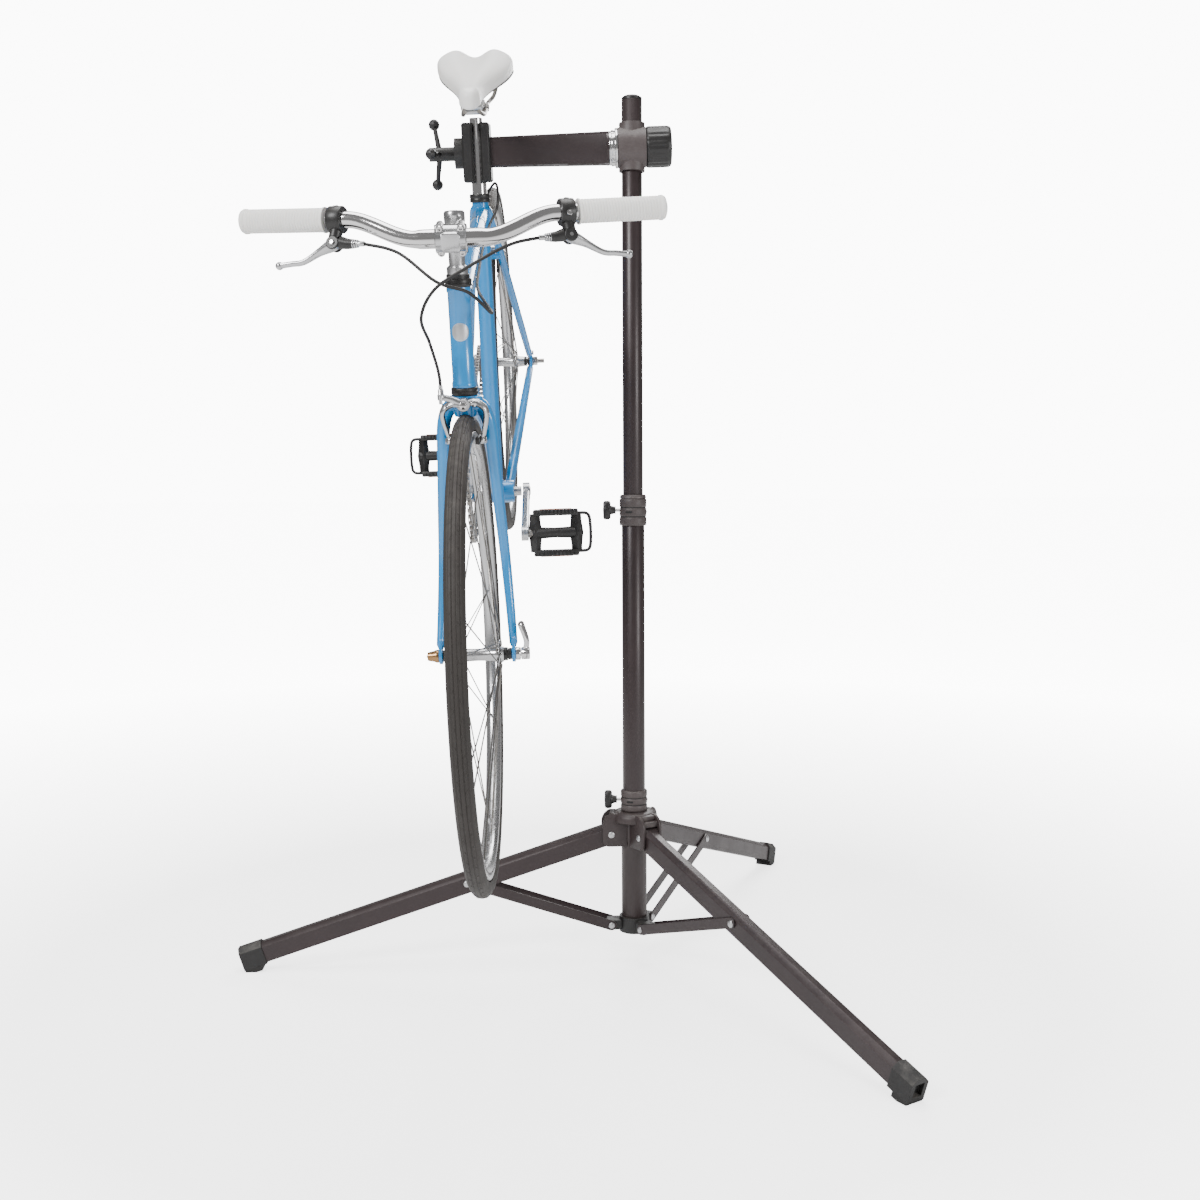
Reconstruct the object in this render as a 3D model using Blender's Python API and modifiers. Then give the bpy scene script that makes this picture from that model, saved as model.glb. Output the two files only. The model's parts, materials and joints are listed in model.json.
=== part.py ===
"""City bicycle held by its seatpost in a folding tripod repair stand.

Metres, +Z up, the bicycle facing -Y. The stand is laid out around its mast, the clamp around the arm's
axis and the bicycle around its bottom bracket (+X forward, +Y to the rider's left), each under its own
empty. "left" and "right" are the rider's on the bicycle, and as seen from the front on the stand.
"""

import math

import bmesh
import bpy
from mathutils import Matrix, Vector

GAP = 0.0003  # clearance between pieces that touch
SLIDE_GAP = 0.0006  # clearance of a sliding or turning fit

# ---- stand, around the mast's axis, floor at z = 0 ----
MAST_X, MAST_Y = 0.1578, 0.0072  # the mast's place, which centres the object's box on the origin
MAIN_R, MAIN_WALL = 0.0200, 0.0020
MAIN_BOTTOM, MAIN_TOP = 0.0600, 0.8300
TUBE_GAP = 0.0005  # between the inner tube and the outer one's bore
UPPER_R, UPPER_WALL = MAIN_R - MAIN_WALL - TUBE_GAP, 0.0018
UPPER_BOTTOM, MAST_TOP = 0.5000, 1.5240
CAP_RIM = 0.0070
RING_WALL, RING_Z, RING_HEIGHT = 0.0070, 0.0710, 0.0280
RING_R = MAIN_R + RING_WALL
LEG_AZIMUTHS = {"left": 182.5, "right": 302.5, "rear": 62.5}  # degrees
LEG_PIVOT_OUT, LEG_PIVOT_Z = 0.0220, 0.2380  # from the mast's surface
LEG_PIVOT_R = MAIN_R + LEG_PIVOT_OUT
LEG_WIDTH, LEG_HEIGHT, LEG_WALL = 0.0280, 0.0360, 0.0022
FOOT_R, FOOT_Z = 0.7050, 0.0210  # where the middle of a leg's end stands
FOOT_LENGTH, FOOT_WALL = 0.0420, 0.0020
BRACE_SPAN = 0.2720  # pin to pin, and the same length along the leg
STRAP_WIDTH, STRAP_THICKNESS = 0.0180, 0.0025
PIN_R = 0.0040
SLEEVE_WALL, HUB_CROWN_WALL = 0.0026, 0.0200
SLEEVE_R = MAIN_R + SLEEVE_WALL
HUB_PAST_PIN, HUB_HEIGHT, HUB_ROOF = 0.0160, 0.0620, 0.0220
HUB_R = LEG_PIVOT_R + HUB_PAST_PIN
COLLAR_WALL, COLLAR_HEIGHT = 0.0035, 0.0540
COLLAR_R = MAIN_R + COLLAR_WALL
HUB_COLLAR_HEIGHT = 0.0380
KNOB_LOBE_R, KNOB_LOBE_THICKNESS, KNOB_REACH = 0.0120, 0.0150, 0.0290

# ---- clamp head, around the arm's axis: -X runs out to the clamp, +Z along the seatpost ----
ARM_Z, ARM_LENGTH = 1.4380, 0.2650  # height of the axis, and mast to seatpost
ARM_SLOPE, ARM_LEAN = math.radians(1.7), math.radians(10.6)
BARREL_WALL, BARREL_HALF = 0.0160, 0.0240
BARREL_R = UPPER_R + BARREL_WALL
SLEEVE_HEAD_WALL, SLEEVE_HEAD_HALF = 0.0047, 0.0405
SLEEVE_HEAD_R = UPPER_R + SLEEVE_HEAD_WALL
STUB_R = 0.0110
LOCK_RING_R, LOCK_RING_FLARE_R, LOCK_RING_LENGTH = 0.0290, 0.0335, 0.0150
KNOB_R, KNOB_LENGTH = 0.0345, 0.0440
ARM_HEIGHT_HEAD, ARM_HEIGHT_CLAMP, ARM_DEPTH = 0.0560, 0.0500, 0.0300
JAW_HEIGHT, JAW_FRONT, JAW_BACK = 0.0980, 0.0240, 0.0420
JAW_IN, FIXED_JAW_OUT, MOVING_JAW_OUT = 0.0068, 0.0230, 0.0246  # all from the post's axis
SPINDLE_R, SPINDLE_Y = 0.0050, 0.0300
HOUSING_R, HOUSING_LENGTH = 0.0255, 0.0145
HANDLE_HUB_R, HANDLE_HUB_LENGTH = 0.0118, 0.0460
HANDLE_ARM, HANDLE_BALL_R, HANDLE_SWEEP = 0.0580, 0.0098, 0.0100

# ---- bicycle, around the bottom bracket ----
SEAT_ANGLE = math.radians(73.0)
CLAMPED_AT = 0.5930  # up the seat tube's axis
SEATPOST_R, SEATPOST_TOP, SEATPOST_DEPTH, NECK = 0.0127, 0.6500, 0.1800, 0.0240
SEAT_TUBE, SEAT_TUBE_WALL = 0.5250, 0.0016
SEAT_TUBE_R = SEATPOST_R + SEAT_TUBE_WALL
BB_SHELL_R, BB_SHELL_HALF, SPINDLE_BORE_R = 0.0200, 0.0340, 0.0092
DROP, CHAINSTAY, FRONT_CENTRE = 0.0700, 0.4300, 0.6136
FORK_LENGTH, FORK_RAKE = 0.3720, 0.0450
HEAD_TUBE, HEAD_TUBE_R, HEAD_BORE_R = 0.1370, 0.0158, 0.0138
TOP_TUBE_R, DOWN_TUBE_R, CHAINSTAY_R, SEATSTAY_R = 0.0127, 0.0143, 0.0080, 0.0068
TOP_TUBE_SEAT, TOP_TUBE_HEAD, DOWN_TUBE_HEAD = 0.4950, 0.0300, 0.0320
REAR_HALF, FRONT_HALF, DROPOUT_THICKNESS = 0.0600, 0.0500, 0.0050
STEERER_R, STEERER_WALL = 0.0127, 0.0013
CUP_R, CUP_HEIGHT = 0.0188, 0.0110
CROWN_HALF, CROWN_HEIGHT, CROWN_DEPTH = 0.0400, 0.0190, 0.0300
BLADE_HALF_TOP, BLADE_R_TOP, BLADE_R_END = 0.0305, 0.0095, 0.0060
WHEEL_R, TYRE_R = 0.3450, 0.0140
RIM_WIDTH, RIM_DEPTH = 0.0220, 0.0170
HUB_FLANGE_R, HUB_FLANGE_HALF, HUB_BARREL_R = 0.0190, 0.0320, 0.0100
AXLE_R, SKEWER_R, AXLE_PAST_NUT = 0.0045, 0.0022, 0.0240
SPOKES, SPOKE_R = 10, 0.0012
STEM_RISE, STEM_REACH, QUILL_R, QUILL_DEPTH = 0.0870, 0.0700, 0.0110, 0.0900
BAR_R, BAR_CLAMP_R, BAR_HALF = 0.0111, 0.0127, 0.2820
BAR_RISE, BAR_BACK, BAR_SWEEP = 0.0200, 0.0300, 0.0700
GRIP_R, GRIP_LENGTH = 0.0160, 0.1200
LEVER_CLAMP_AT, LEVER_CLAMP_WIDTH, LEVER_CLAMP_R = 0.1520, 0.0200, 0.0180
CRANK, CRANK_TURN = 0.1700, math.radians(3.0)
CHAINLINE, RING_TEETH_R, COG_R = 0.0430, 0.0890, 0.0330
CHAIN_WIDTH, CHAIN_HALF, TOOTH_GAP = 0.0060, 0.0035, 0.0008
CRANK_INNER, CRANK_OUTER, CRANK_THICKNESS = 0.0500, 0.0570, 0.0120
PEDAL_LENGTH, PEDAL_SPAN, PEDAL_THICKNESS, PEDAL_LOOP = 0.0820, 0.0840, 0.0220, 0.0200
PEDAL_TURN = math.radians(62.0)
SADDLE_LENGTH, SADDLE_WIDTH, SADDLE_NOSE, SADDLE_HEIGHT = 0.2700, 0.1780, 0.0400, 0.0480
RAIL_R = 0.0035
CABLE_R = 0.0023

COLOURS = {  # base colour, roughness, metallic
    "anodised": ((0.050, 0.038, 0.040, 1), 0.35, 0.7),
    "collar_plastic": ((0.120, 0.100, 0.100, 1), 0.50, 0.0),
    "black_plastic": ((0.020, 0.020, 0.021, 1), 0.40, 0.0),
    "rubber": ((0.025, 0.024, 0.024, 1), 0.75, 0.0),
    "blue_paint": ((0.040, 0.270, 0.580, 1), 0.22, 0.0),
    "white_rubber": ((0.830, 0.820, 0.780, 1), 0.55, 0.0),
    "white_vinyl": ((0.850, 0.830, 0.800, 1), 0.45, 0.0),
    "chrome": ((0.800, 0.800, 0.810, 1), 0.12, 1.0),
    "alloy": ((0.720, 0.720, 0.730, 1), 0.28, 1.0),
    "steel": ((0.500, 0.490, 0.480, 1), 0.35, 1.0),
}

X, Y, Z = Vector((1, 0, 0)), Vector((0, 1, 0)), Vector((0, 0, 1))


# ---- scene ----
for old in list(bpy.data.objects):
    bpy.data.objects.remove(old)
parts = bpy.data.collections.new("bicycle_on_stand")
cutters = bpy.data.collections.new("cutters")
cutters.hide_render = True
for collection in (parts, cutters):
    bpy.context.scene.collection.children.link(collection)


def empty(name, location=(0, 0, 0), rotation=(0, 0, 0), parent=None):
    frame = bpy.data.objects.new(name, None)
    frame.parent, frame.location, frame.rotation_euler = parent, location, rotation
    parts.objects.link(frame)
    return frame


def finish_material(name):
    colour, roughness, metallic = COLOURS[name]
    made = bpy.data.materials.get(name) or bpy.data.materials.new(name)
    made.use_nodes, made.diffuse_color = True, colour
    shader = made.node_tree.nodes["Principled BSDF"]
    shader.inputs["Base Color"].default_value = colour
    shader.inputs["Roughness"].default_value = roughness
    shader.inputs["Metallic"].default_value = metallic
    return made


def place(name, data, frame, finish=None):
    """A new object under a frame. Without a finish it is a helper, for Booleans only."""
    made = bpy.data.objects.new(name, data)
    made.parent = frame
    if finish:
        parts.objects.link(made)
        data.materials.append(finish_material(finish))
    else:
        cutters.objects.link(made)
        made.hide_render, made.display_type = True, "WIRE"
    return made


def mesh_from(name, form):
    bmesh.ops.recalc_face_normals(form, faces=form.faces)
    if form.calc_volume(signed=True) < 0:
        bmesh.ops.reverse_faces(form, faces=form.faces)
    mesh = bpy.data.meshes.new(name)
    form.to_mesh(mesh)
    form.free()
    for face in mesh.polygons:
        face.use_smooth = True
    mesh.set_sharp_from_angle(angle=math.radians(35))
    return mesh


def along(start, end):
    """The placing of something built along +Z about its middle, so that it runs from start to end."""
    way = end - start
    return Matrix.Translation((start + end) / 2) @ way.to_track_quat("Z", "Y").to_matrix().to_4x4()


def rod(name, frame, start, end, radius, finish=None, radius_end=None, sides=20):
    """A round bar, or a cone, from start to end."""
    start, end = Vector(start), Vector(end)
    form = bmesh.new()
    bmesh.ops.create_cone(
        form, cap_ends=True, segments=sides, radius1=radius, depth=(end - start).length,
        radius2=radius if radius_end is None else radius_end,
    )
    form.transform(along(start, end))
    return place(name, mesh_from(name, form), frame, finish)


def block(name, frame, middle, size, finish=None, turn=None, bevel=0.0):
    """A box about its middle, turned by a matrix, with rounded edges if asked."""
    form = bmesh.new()
    bmesh.ops.create_cube(form, size=1, matrix=Matrix.Diagonal((*size, 1)))
    if bevel:
        bmesh.ops.bevel(
            form, geom=form.edges, offset=bevel, segments=1, affect="EDGES", profile=0.5)
    form.transform(Matrix.Translation(middle) @ (turn or Matrix()))
    return place(name, mesh_from(name, form), frame, finish)


def turned(name, frame, profile, finish=None, at=(0, 0, 0), axis=Z, steps=32):
    """A turned shape. The profile is (radius, height) points down its outer side, and a closed ring's
    profile comes back up its inner side."""
    ring = all(radius > 0 for radius, _ in profile)
    mesh = bpy.data.meshes.new(name)
    count = len(profile)
    edges = [(i, i + 1) for i in range(count - 1)] + ([(count - 1, 0)] if ring else [])
    mesh.from_pydata([(radius, 0, height) for radius, height in profile], edges, [])
    made = place(name, mesh, frame, finish)
    made.matrix_local = Matrix.Translation(at) @ axis.to_track_quat("Z", "Y").to_matrix().to_4x4()
    screw = made.modifiers.new("turn", "SCREW")
    screw.steps = screw.render_steps = steps
    screw.use_merge_vertices, screw.merge_threshold = True, 0.00001
    screw.use_smooth_shade = True
    return made


def tube_profile(outer, inner, top, bottom):
    return [(outer, top), (outer, bottom), (inner, bottom), (inner, top)]


def curved(name, frame, points, radius, finish=None, radii=None, sides=2, cyclic=False):
    """A round bar along a smooth curve through the points, as a welded mesh."""
    curve = bpy.data.curves.new(name, "CURVE")
    curve.dimensions, curve.bevel_depth, curve.bevel_resolution = "3D", radius, sides
    curve.use_fill_caps = not cyclic
    spline = curve.splines.new("POLY")
    spline.points.add(len(points) - 1)
    for i, point in enumerate(points):
        spline.points[i].co = (*point, 1)
        spline.points[i].radius = 1 if radii is None else radii[i] / radius
    spline.use_cyclic_u = cyclic
    guide = bpy.data.objects.new(name + "_guide", curve)
    cutters.objects.link(guide)
    bpy.context.view_layer.update()
    graph = bpy.context.evaluated_depsgraph_get()
    mesh = bpy.data.meshes.new_from_object(guide.evaluated_get(graph))
    bpy.data.objects.remove(guide)
    form = bmesh.new()
    form.from_mesh(mesh)
    bmesh.ops.remove_doubles(form, verts=form.verts, dist=0.00001)
    bpy.data.meshes.remove(mesh)
    return place(name, mesh_from(name, form), frame, finish)


def smooth_path(points, per_span=6):
    """Points on a Catmull-Rom curve through the given ones."""
    points = [Vector(p) for p in points]
    ends = [2 * points[0] - points[1]] + points + [2 * points[-1] - points[-2]]
    path = []
    for a, b, c, d in zip(ends, ends[1:], ends[2:], ends[3:]):
        for i in range(per_span):
            t = i / per_span
            path.append(0.5 * (2 * b + (c - a) * t + (2 * a - 5 * b + 4 * c - d) * t**2
                               + (3 * b - 3 * c + d - a) * t**3))
    return path + [points[-1]]


def plate(name, frame, outline, thickness, turn, finish=None):
    """A flat outline of (x, y) points given a thickness, centred on its plane, then put in place."""
    curve = bpy.data.curves.new(name, "CURVE")
    curve.dimensions, curve.fill_mode, curve.extrude = "2D", "BOTH", thickness / 2
    spline = curve.splines.new("POLY")
    spline.points.add(len(outline) - 1)
    for i, (x, y) in enumerate(outline):
        spline.points[i].co = (x, y, 0, 1)
    spline.use_cyclic_u = True
    guide = bpy.data.objects.new(name + "_guide", curve)
    cutters.objects.link(guide)
    bpy.context.view_layer.update()
    graph = bpy.context.evaluated_depsgraph_get()
    mesh = bpy.data.meshes.new_from_object(guide.evaluated_get(graph))
    bpy.data.objects.remove(guide)
    form = bmesh.new()
    form.from_mesh(mesh)
    bmesh.ops.remove_doubles(form, verts=form.verts, dist=0.00001)
    form.transform(turn)
    bpy.data.meshes.remove(mesh)
    return place(name, mesh_from(name, form), frame, finish)


def boolean(target, operation, pieces):
    """Joins helper pieces to the target, or cuts them from it, in one step."""
    group = bpy.data.collections.new(f"{target.name}_{operation.lower()}")
    group.hide_render = True
    cutters.children.link(group)
    for piece in pieces:
        cutters.objects.unlink(piece)
        group.objects.link(piece)
    modifier = target.modifiers.new(operation.lower(), "BOOLEAN")
    modifier.operation, modifier.solver = operation, "EXACT"
    modifier.operand_type, modifier.collection = "COLLECTION", group
    return target


def fuse(target, *pieces):
    return boolean(target, "UNION", pieces)


def cut(target, *pieces):
    return boolean(target, "DIFFERENCE", pieces)


def origin_at(piece, point):
    """Moves the piece's origin, and leaves its shape where it is."""
    shift = Vector(point)
    piece.data.transform(Matrix.Translation(-shift))
    piece.location = shift
    return piece


def arc(middle, radius, start, end, steps):
    """Points on an arc of a flat outline, angles in degrees."""
    turns = [math.radians(start + (end - start) * i / steps) for i in range(steps + 1)]
    return [(middle[0] + radius * math.cos(a), middle[1] + radius * math.sin(a)) for a in turns]


# ---- frames ----
stand = empty("stand_origin", (MAST_X, MAST_Y, 0))
arm = empty("arm_axis", (0, 0, ARM_Z), (ARM_LEAN, -ARM_SLOPE, 0), stand)
bike = empty("bicycle_origin", (-ARM_LENGTH, 0, -CLAMPED_AT),
             (0, math.pi / 2 - SEAT_ANGLE, -math.pi / 2), arm)


# ---- mast ----
def make_mast():
    turned("main_tube", stand, tube_profile(MAIN_R, MAIN_R - MAIN_WALL, MAIN_TOP, MAIN_BOTTOM),
           "anodised")
    upper_bore = UPPER_R - UPPER_WALL
    rim_bottom = MAST_TOP - CAP_RIM
    turned("upper_tube", stand, tube_profile(UPPER_R, upper_bore, rim_bottom - GAP, UPPER_BOTTOM),
           "anodised")
    plug_r, plug_depth = upper_bore - GAP, 0.0150
    turned("mast_cap", stand, [
        (0, MAST_TOP), (UPPER_R * 0.75, MAST_TOP), (UPPER_R, MAST_TOP - 0.0030),
        (UPPER_R, rim_bottom), (plug_r, rim_bottom), (plug_r, rim_bottom - plug_depth),
        (0, rim_bottom - plug_depth)], "black_plastic", steps=20)


def collar_profile(bottom, height, bore, waist):
    """A ribbed clamp collar: a straight bore, and ribs with grooves between them."""
    ribs = 3
    pitch = height / ribs
    outer = []
    for rib in range(ribs):
        top = bottom + height - rib * pitch
        outer += [(COLLAR_R, top), (COLLAR_R, top - pitch * 0.72), (waist, top - pitch * 0.78),
                  (waist, top - pitch)]
    return outer[:-2] + [(COLLAR_R, bottom), (bore, bottom), (bore, bottom + height)]


def knob_with_wing(name, z, reach_from):
    """A screw with a flat wing, along -X, whose neck starts at reach_from."""
    wing_x = -reach_from - KNOB_REACH + KNOB_LOBE_R
    neck = rod(name, stand, (-reach_from, 0, z), (wing_x, 0, z), 0.0048, "black_plastic",
               radius_end=0.0075, sides=16)
    lobe = rod(name + "_lobe", stand, (wing_x, -KNOB_LOBE_THICKNESS / 2, z),
               (wing_x, KNOB_LOBE_THICKNESS / 2, z), KNOB_LOBE_R, sides=20)
    fuse(neck, lobe)
    return origin_at(neck, (-reach_from, 0, z))


def make_mid_collar():
    step_z = MAIN_TOP + GAP
    collar_bottom = 0.8165 - COLLAR_HEIGHT / 2
    profile = collar_profile(collar_bottom, COLLAR_HEIGHT, MAIN_R + GAP, COLLAR_R - 0.0025)
    top = profile.pop()
    profile += [(MAIN_R + GAP, step_z), (UPPER_R + SLIDE_GAP, step_z),
                (UPPER_R + SLIDE_GAP, top[1])]
    turned("mid_collar", stand, profile, "collar_plastic", steps=20)
    knob_with_wing("mid_knob", 0.8165, COLLAR_R + GAP)


def make_brace_ring():
    top, bottom = RING_Z + RING_HEIGHT / 2, RING_Z - RING_HEIGHT / 2
    ring = turned("brace_ring", stand, tube_profile(RING_R, MAIN_R + GAP, top, bottom),
                  "black_plastic")
    lug_width = LEG_WIDTH + 2 * SLIDE_GAP
    lugs = []
    for side, azimuth in LEG_AZIMUTHS.items():
        turn = Matrix.Rotation(math.radians(azimuth), 4, "Z")
        reach = (RING_R - 0.0030, LEG_PIVOT_R + 0.0075)
        lugs.append(block("lug_" + side, stand, turn @ Vector((sum(reach) / 2, 0, RING_Z)),
                          (reach[1] - reach[0], lug_width, 0.0170), turn=turn))
    fuse(ring, *lugs)
    pins = [rod("lug_bore_" + side, stand, *pin_ends(azimuth, LEG_PIVOT_R, RING_Z, 0.04), PIN_R
                + SLIDE_GAP, sides=10) for side, azimuth in LEG_AZIMUTHS.items()]
    cut(ring, *pins)


def pin_ends(azimuth, radius, z, length):
    """The two ends of a pin that lies across a leg's direction."""
    turn = Matrix.Rotation(math.radians(azimuth), 3, "Z")
    return [turn @ Vector((radius, side * length / 2, z)) for side in (-1, 1)]


# ---- tripod ----
LEG_SLOPE = math.atan2(LEG_PIVOT_Z - FOOT_Z, FOOT_R - LEG_PIVOT_R)
LEG_LENGTH = math.hypot(LEG_PIVOT_Z - FOOT_Z, FOOT_R - LEG_PIVOT_R)


def leg_frame(side):
    """A frame at a leg's pin: +X down the leg, +Y across it."""
    azimuth = math.radians(LEG_AZIMUTHS[side])
    turn = Matrix.Rotation(azimuth, 3, "Z")
    return empty(f"leg_{side}_pin", turn @ Vector((LEG_PIVOT_R, 0, LEG_PIVOT_Z)),
                 (0, LEG_SLOPE, azimuth), stand)


def leg_outline(half_width, half_height, shoulder):
    """The leg's section as (y, z): flat sides under a lower, narrower roof."""
    flat = half_width - shoulder
    return [(-half_width, -half_height), (half_width, -half_height),
            (half_width, half_height - shoulder), (flat, half_height),
            (-flat, half_height), (-half_width, half_height - shoulder)]


def make_leg(side):
    frame = leg_frame(side)
    end = LEG_LENGTH - FOOT_LENGTH / 2
    upright = Matrix(((0, 0, 1, end / 2), (1, 0, 0, 0), (0, 1, 0, 0), (0, 0, 0, 1)))
    half_w, half_h, shoulder = LEG_WIDTH / 2, LEG_HEIGHT / 2, 0.0080
    leg = plate("leg_" + side, frame, leg_outline(half_w, half_h, shoulder), end, upright,
                "anodised")
    nose = rod("leg_root_" + side, frame, (0, -half_w, 0), (0, half_w, 0), half_h, sides=28)
    fuse(leg, nose)
    hollow_from = BRACE_SPAN * 0.5
    inner = leg_outline(half_w - LEG_WALL, half_h - LEG_WALL, shoulder * 0.85)
    middle = Matrix.Translation(((hollow_from + end) / 2 - end / 2 + 0.01, 0, 0)) @ upright
    hollow = plate("leg_hollow_" + side, frame, inner, end - hollow_from + 0.02, middle)
    bore = rod("leg_bore_" + side, frame, (0, -0.05, 0), (0, 0.05, 0), PIN_R + SLIDE_GAP, sides=10)
    cut(leg, hollow, bore)
    make_foot(side, frame, end)


def make_foot(side, frame, leg_end):
    """A cap over the leg's end, with a flat sole that stands on the floor."""
    length = FOOT_LENGTH
    outer = leg_outline(LEG_WIDTH / 2 + FOOT_WALL + GAP, LEG_HEIGHT / 2 + FOOT_WALL + GAP, 0.0085)
    start = leg_end - length * 0.55
    upright = Matrix(((0, 0, 1, start + length / 2), (1, 0, 0, 0), (0, 1, 0, 0), (0, 0, 0, 1)))
    foot = plate("foot_" + side, frame, outer, length, upright, "rubber")
    sole = block("foot_sole_" + side, frame, (start + length * 0.62, 0, -LEG_HEIGHT / 2 - 0.002),
                 (length * 0.70, LEG_WIDTH + 2 * FOOT_WALL, 0.0180))
    fuse(foot, sole)
    pocket = plate("foot_pocket_" + side, frame,
                   leg_outline(LEG_WIDTH / 2 + GAP, LEG_HEIGHT / 2 + GAP, 0.0078), 0.0400,
                   Matrix(((0, 0, 1, leg_end + GAP - 0.0200), (1, 0, 0, 0), (0, 1, 0, 0),
                           (0, 0, 0, 1))))
    socket = block("foot_socket_" + side, frame, (start + length, 0, 0),
                   (0.0160, LEG_WIDTH * 0.62, LEG_HEIGHT * 0.62))
    floor = block("foot_floor_" + side, stand, (0, 0, -0.1), (2.5, 2.5, 0.2))
    cut(foot, pocket, socket, floor)


def make_brace(side):
    """Two straps, one on each side of the leg, with the pins that join them."""
    azimuth = math.radians(LEG_AZIMUTHS[side])
    turn = Matrix.Rotation(azimuth, 3, "Z")
    frame = empty(f"brace_{side}_pin", turn @ Vector((LEG_PIVOT_R, 0, RING_Z)),
                  (0, -LEG_SLOPE, azimuth), stand)
    out = LEG_WIDTH / 2 + SLIDE_GAP + GAP + STRAP_THICKNESS / 2
    pins = [rod(f"brace_pin_{side}", frame, (0, -out, 0), (0, out, 0), PIN_R, sides=10)]
    half = STRAP_WIDTH / 2
    outline = arc((0, 0), half, 90, 270, 6) + arc((BRACE_SPAN, 0), half, -90, 90, 6)
    straps = [plate(f"brace_{side}" if y < 0 else f"strap_{side}", frame, outline, STRAP_THICKNESS,
                    Matrix.Translation((0, y * out, 0)) @ Matrix.Rotation(math.pi / 2, 4, "X"),
                    "anodised" if y < 0 else None) for y in (-1, 1)]
    fuse(straps[0], straps[1], *pins)


def make_tripod_hub():
    top = LEG_PIVOT_Z + LEG_HEIGHT / 2 + GAP + HUB_ROOF
    ring_top = RING_Z + RING_HEIGHT / 2
    bore = MAIN_R + GAP
    collar_top = top + HUB_COLLAR_HEIGHT
    waist = COLLAR_R - 0.0025
    hub = turned("tripod_hub", stand, [
        (COLLAR_R, collar_top), (COLLAR_R, collar_top - 0.0150), (waist, collar_top - 0.0165),
        (waist, collar_top - 0.0200), (COLLAR_R, collar_top - 0.0215), (COLLAR_R, top - 0.001),
        (SLEEVE_R, top - HUB_HEIGHT + 0.001), (SLEEVE_R, ring_top + GAP), (bore, ring_top + GAP),
        (bore, collar_top)], "collar_plastic", steps=24)
    shells, slots = [], []
    for side, azimuth in LEG_AZIMUTHS.items():
        turn = Matrix.Rotation(math.radians(azimuth), 4, "Z")
        cheek = LEG_WIDTH + 2 * SLIDE_GAP + 2 * 0.0050
        shells.append(block("cheek_" + side, stand,
                            turn @ Vector((HUB_R / 2 + 0.008, 0, top - HUB_HEIGHT / 2)),
                            (HUB_R - 0.016, cheek, HUB_HEIGHT), turn=turn))
        low = top - HUB_HEIGHT - 0.02
        slot_top = top - HUB_ROOF
        slot_in = LEG_PIVOT_R - LEG_HEIGHT / 2 - GAP
        slots.append(block("slot_" + side, stand, turn @ Vector(
            ((slot_in + 0.12) / 2, 0, (slot_top + low) / 2)),
            (0.12 - slot_in, LEG_WIDTH + 2 * SLIDE_GAP, slot_top - low), turn=turn))
    crown = turned("hub_crown", stand, tube_profile(MAIN_R + HUB_CROWN_WALL, bore, top, top - HUB_ROOF + 0.003), steps=24)
    fuse(hub, crown, *shells)
    shaft = rod("hub_shaft", stand, (0, 0, ring_top - 0.01), (0, 0, collar_top + 0.01), bore, sides=24)
    cut(hub, shaft, *slots)
    pins = [rod("hub_pin_" + side, stand, *pin_ends(azimuth, LEG_PIVOT_R, LEG_PIVOT_Z, LEG_WIDTH
                + 2 * SLIDE_GAP + 0.006), PIN_R, sides=10) for side, azimuth in LEG_AZIMUTHS.items()]
    fuse(hub, *pins)
    knob_with_wing("hub_knob", collar_top - 0.0180, COLLAR_R + GAP)


# ---- clamp head ----
def make_head():
    barrel = rod("head_collar", arm, (-BARREL_HALF, 0, 0), (BARREL_HALF, 0, 0), BARREL_R,
                 "collar_plastic", sides=28)
    sleeve = rod("head_sleeve", stand, (0, 0, ARM_Z - SLEEVE_HEAD_HALF),
                 (0, 0, ARM_Z + SLEEVE_HEAD_HALF), SLEEVE_HEAD_R, sides=24)
    fuse(barrel, sleeve)
    shaft = rod("head_shaft", stand, (0, 0, ARM_Z - 0.08), (0, 0, ARM_Z + 0.08), UPPER_R + 2 * GAP,
                sides=24)
    stubs = rod("head_stub_bore", arm, (-0.06, 0, 0), (0.06, 0, 0), STUB_R + GAP, sides=20)
    cut(barrel, shaft, stubs)
    ring_in, ring_out = BARREL_HALF + GAP, BARREL_HALF + LOCK_RING_LENGTH
    band = (ring_out - ring_in) / 4
    flats = LOCK_RING_R
    turned("lock_ring", arm, [
        (flats, ring_out), (flats, ring_out - band), (LOCK_RING_FLARE_R, ring_out - 2 * band),
        (LOCK_RING_FLARE_R, ring_out - 3 * band), (flats, ring_in), (STUB_R + GAP, ring_in),
        (STUB_R + GAP, ring_out)], "chrome", axis=-X, steps=24)
    knob_in, knob_out = BARREL_HALF + GAP, BARREL_HALF + KNOB_LENGTH
    turned("tension_knob", arm, [
        (0, knob_out), (KNOB_R * 0.80, knob_out), (KNOB_R * 0.93, knob_out - 0.004),
        (KNOB_R, knob_out - 0.012), (KNOB_R, knob_in + 0.012), (KNOB_R * 0.90, knob_in + 0.004),
        (KNOB_R * 0.86, knob_in), (STUB_R, knob_in), (STUB_R, UPPER_R + 3 * GAP),
        (0, UPPER_R + 3 * GAP)], "black_plastic", axis=X, steps=24)


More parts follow.
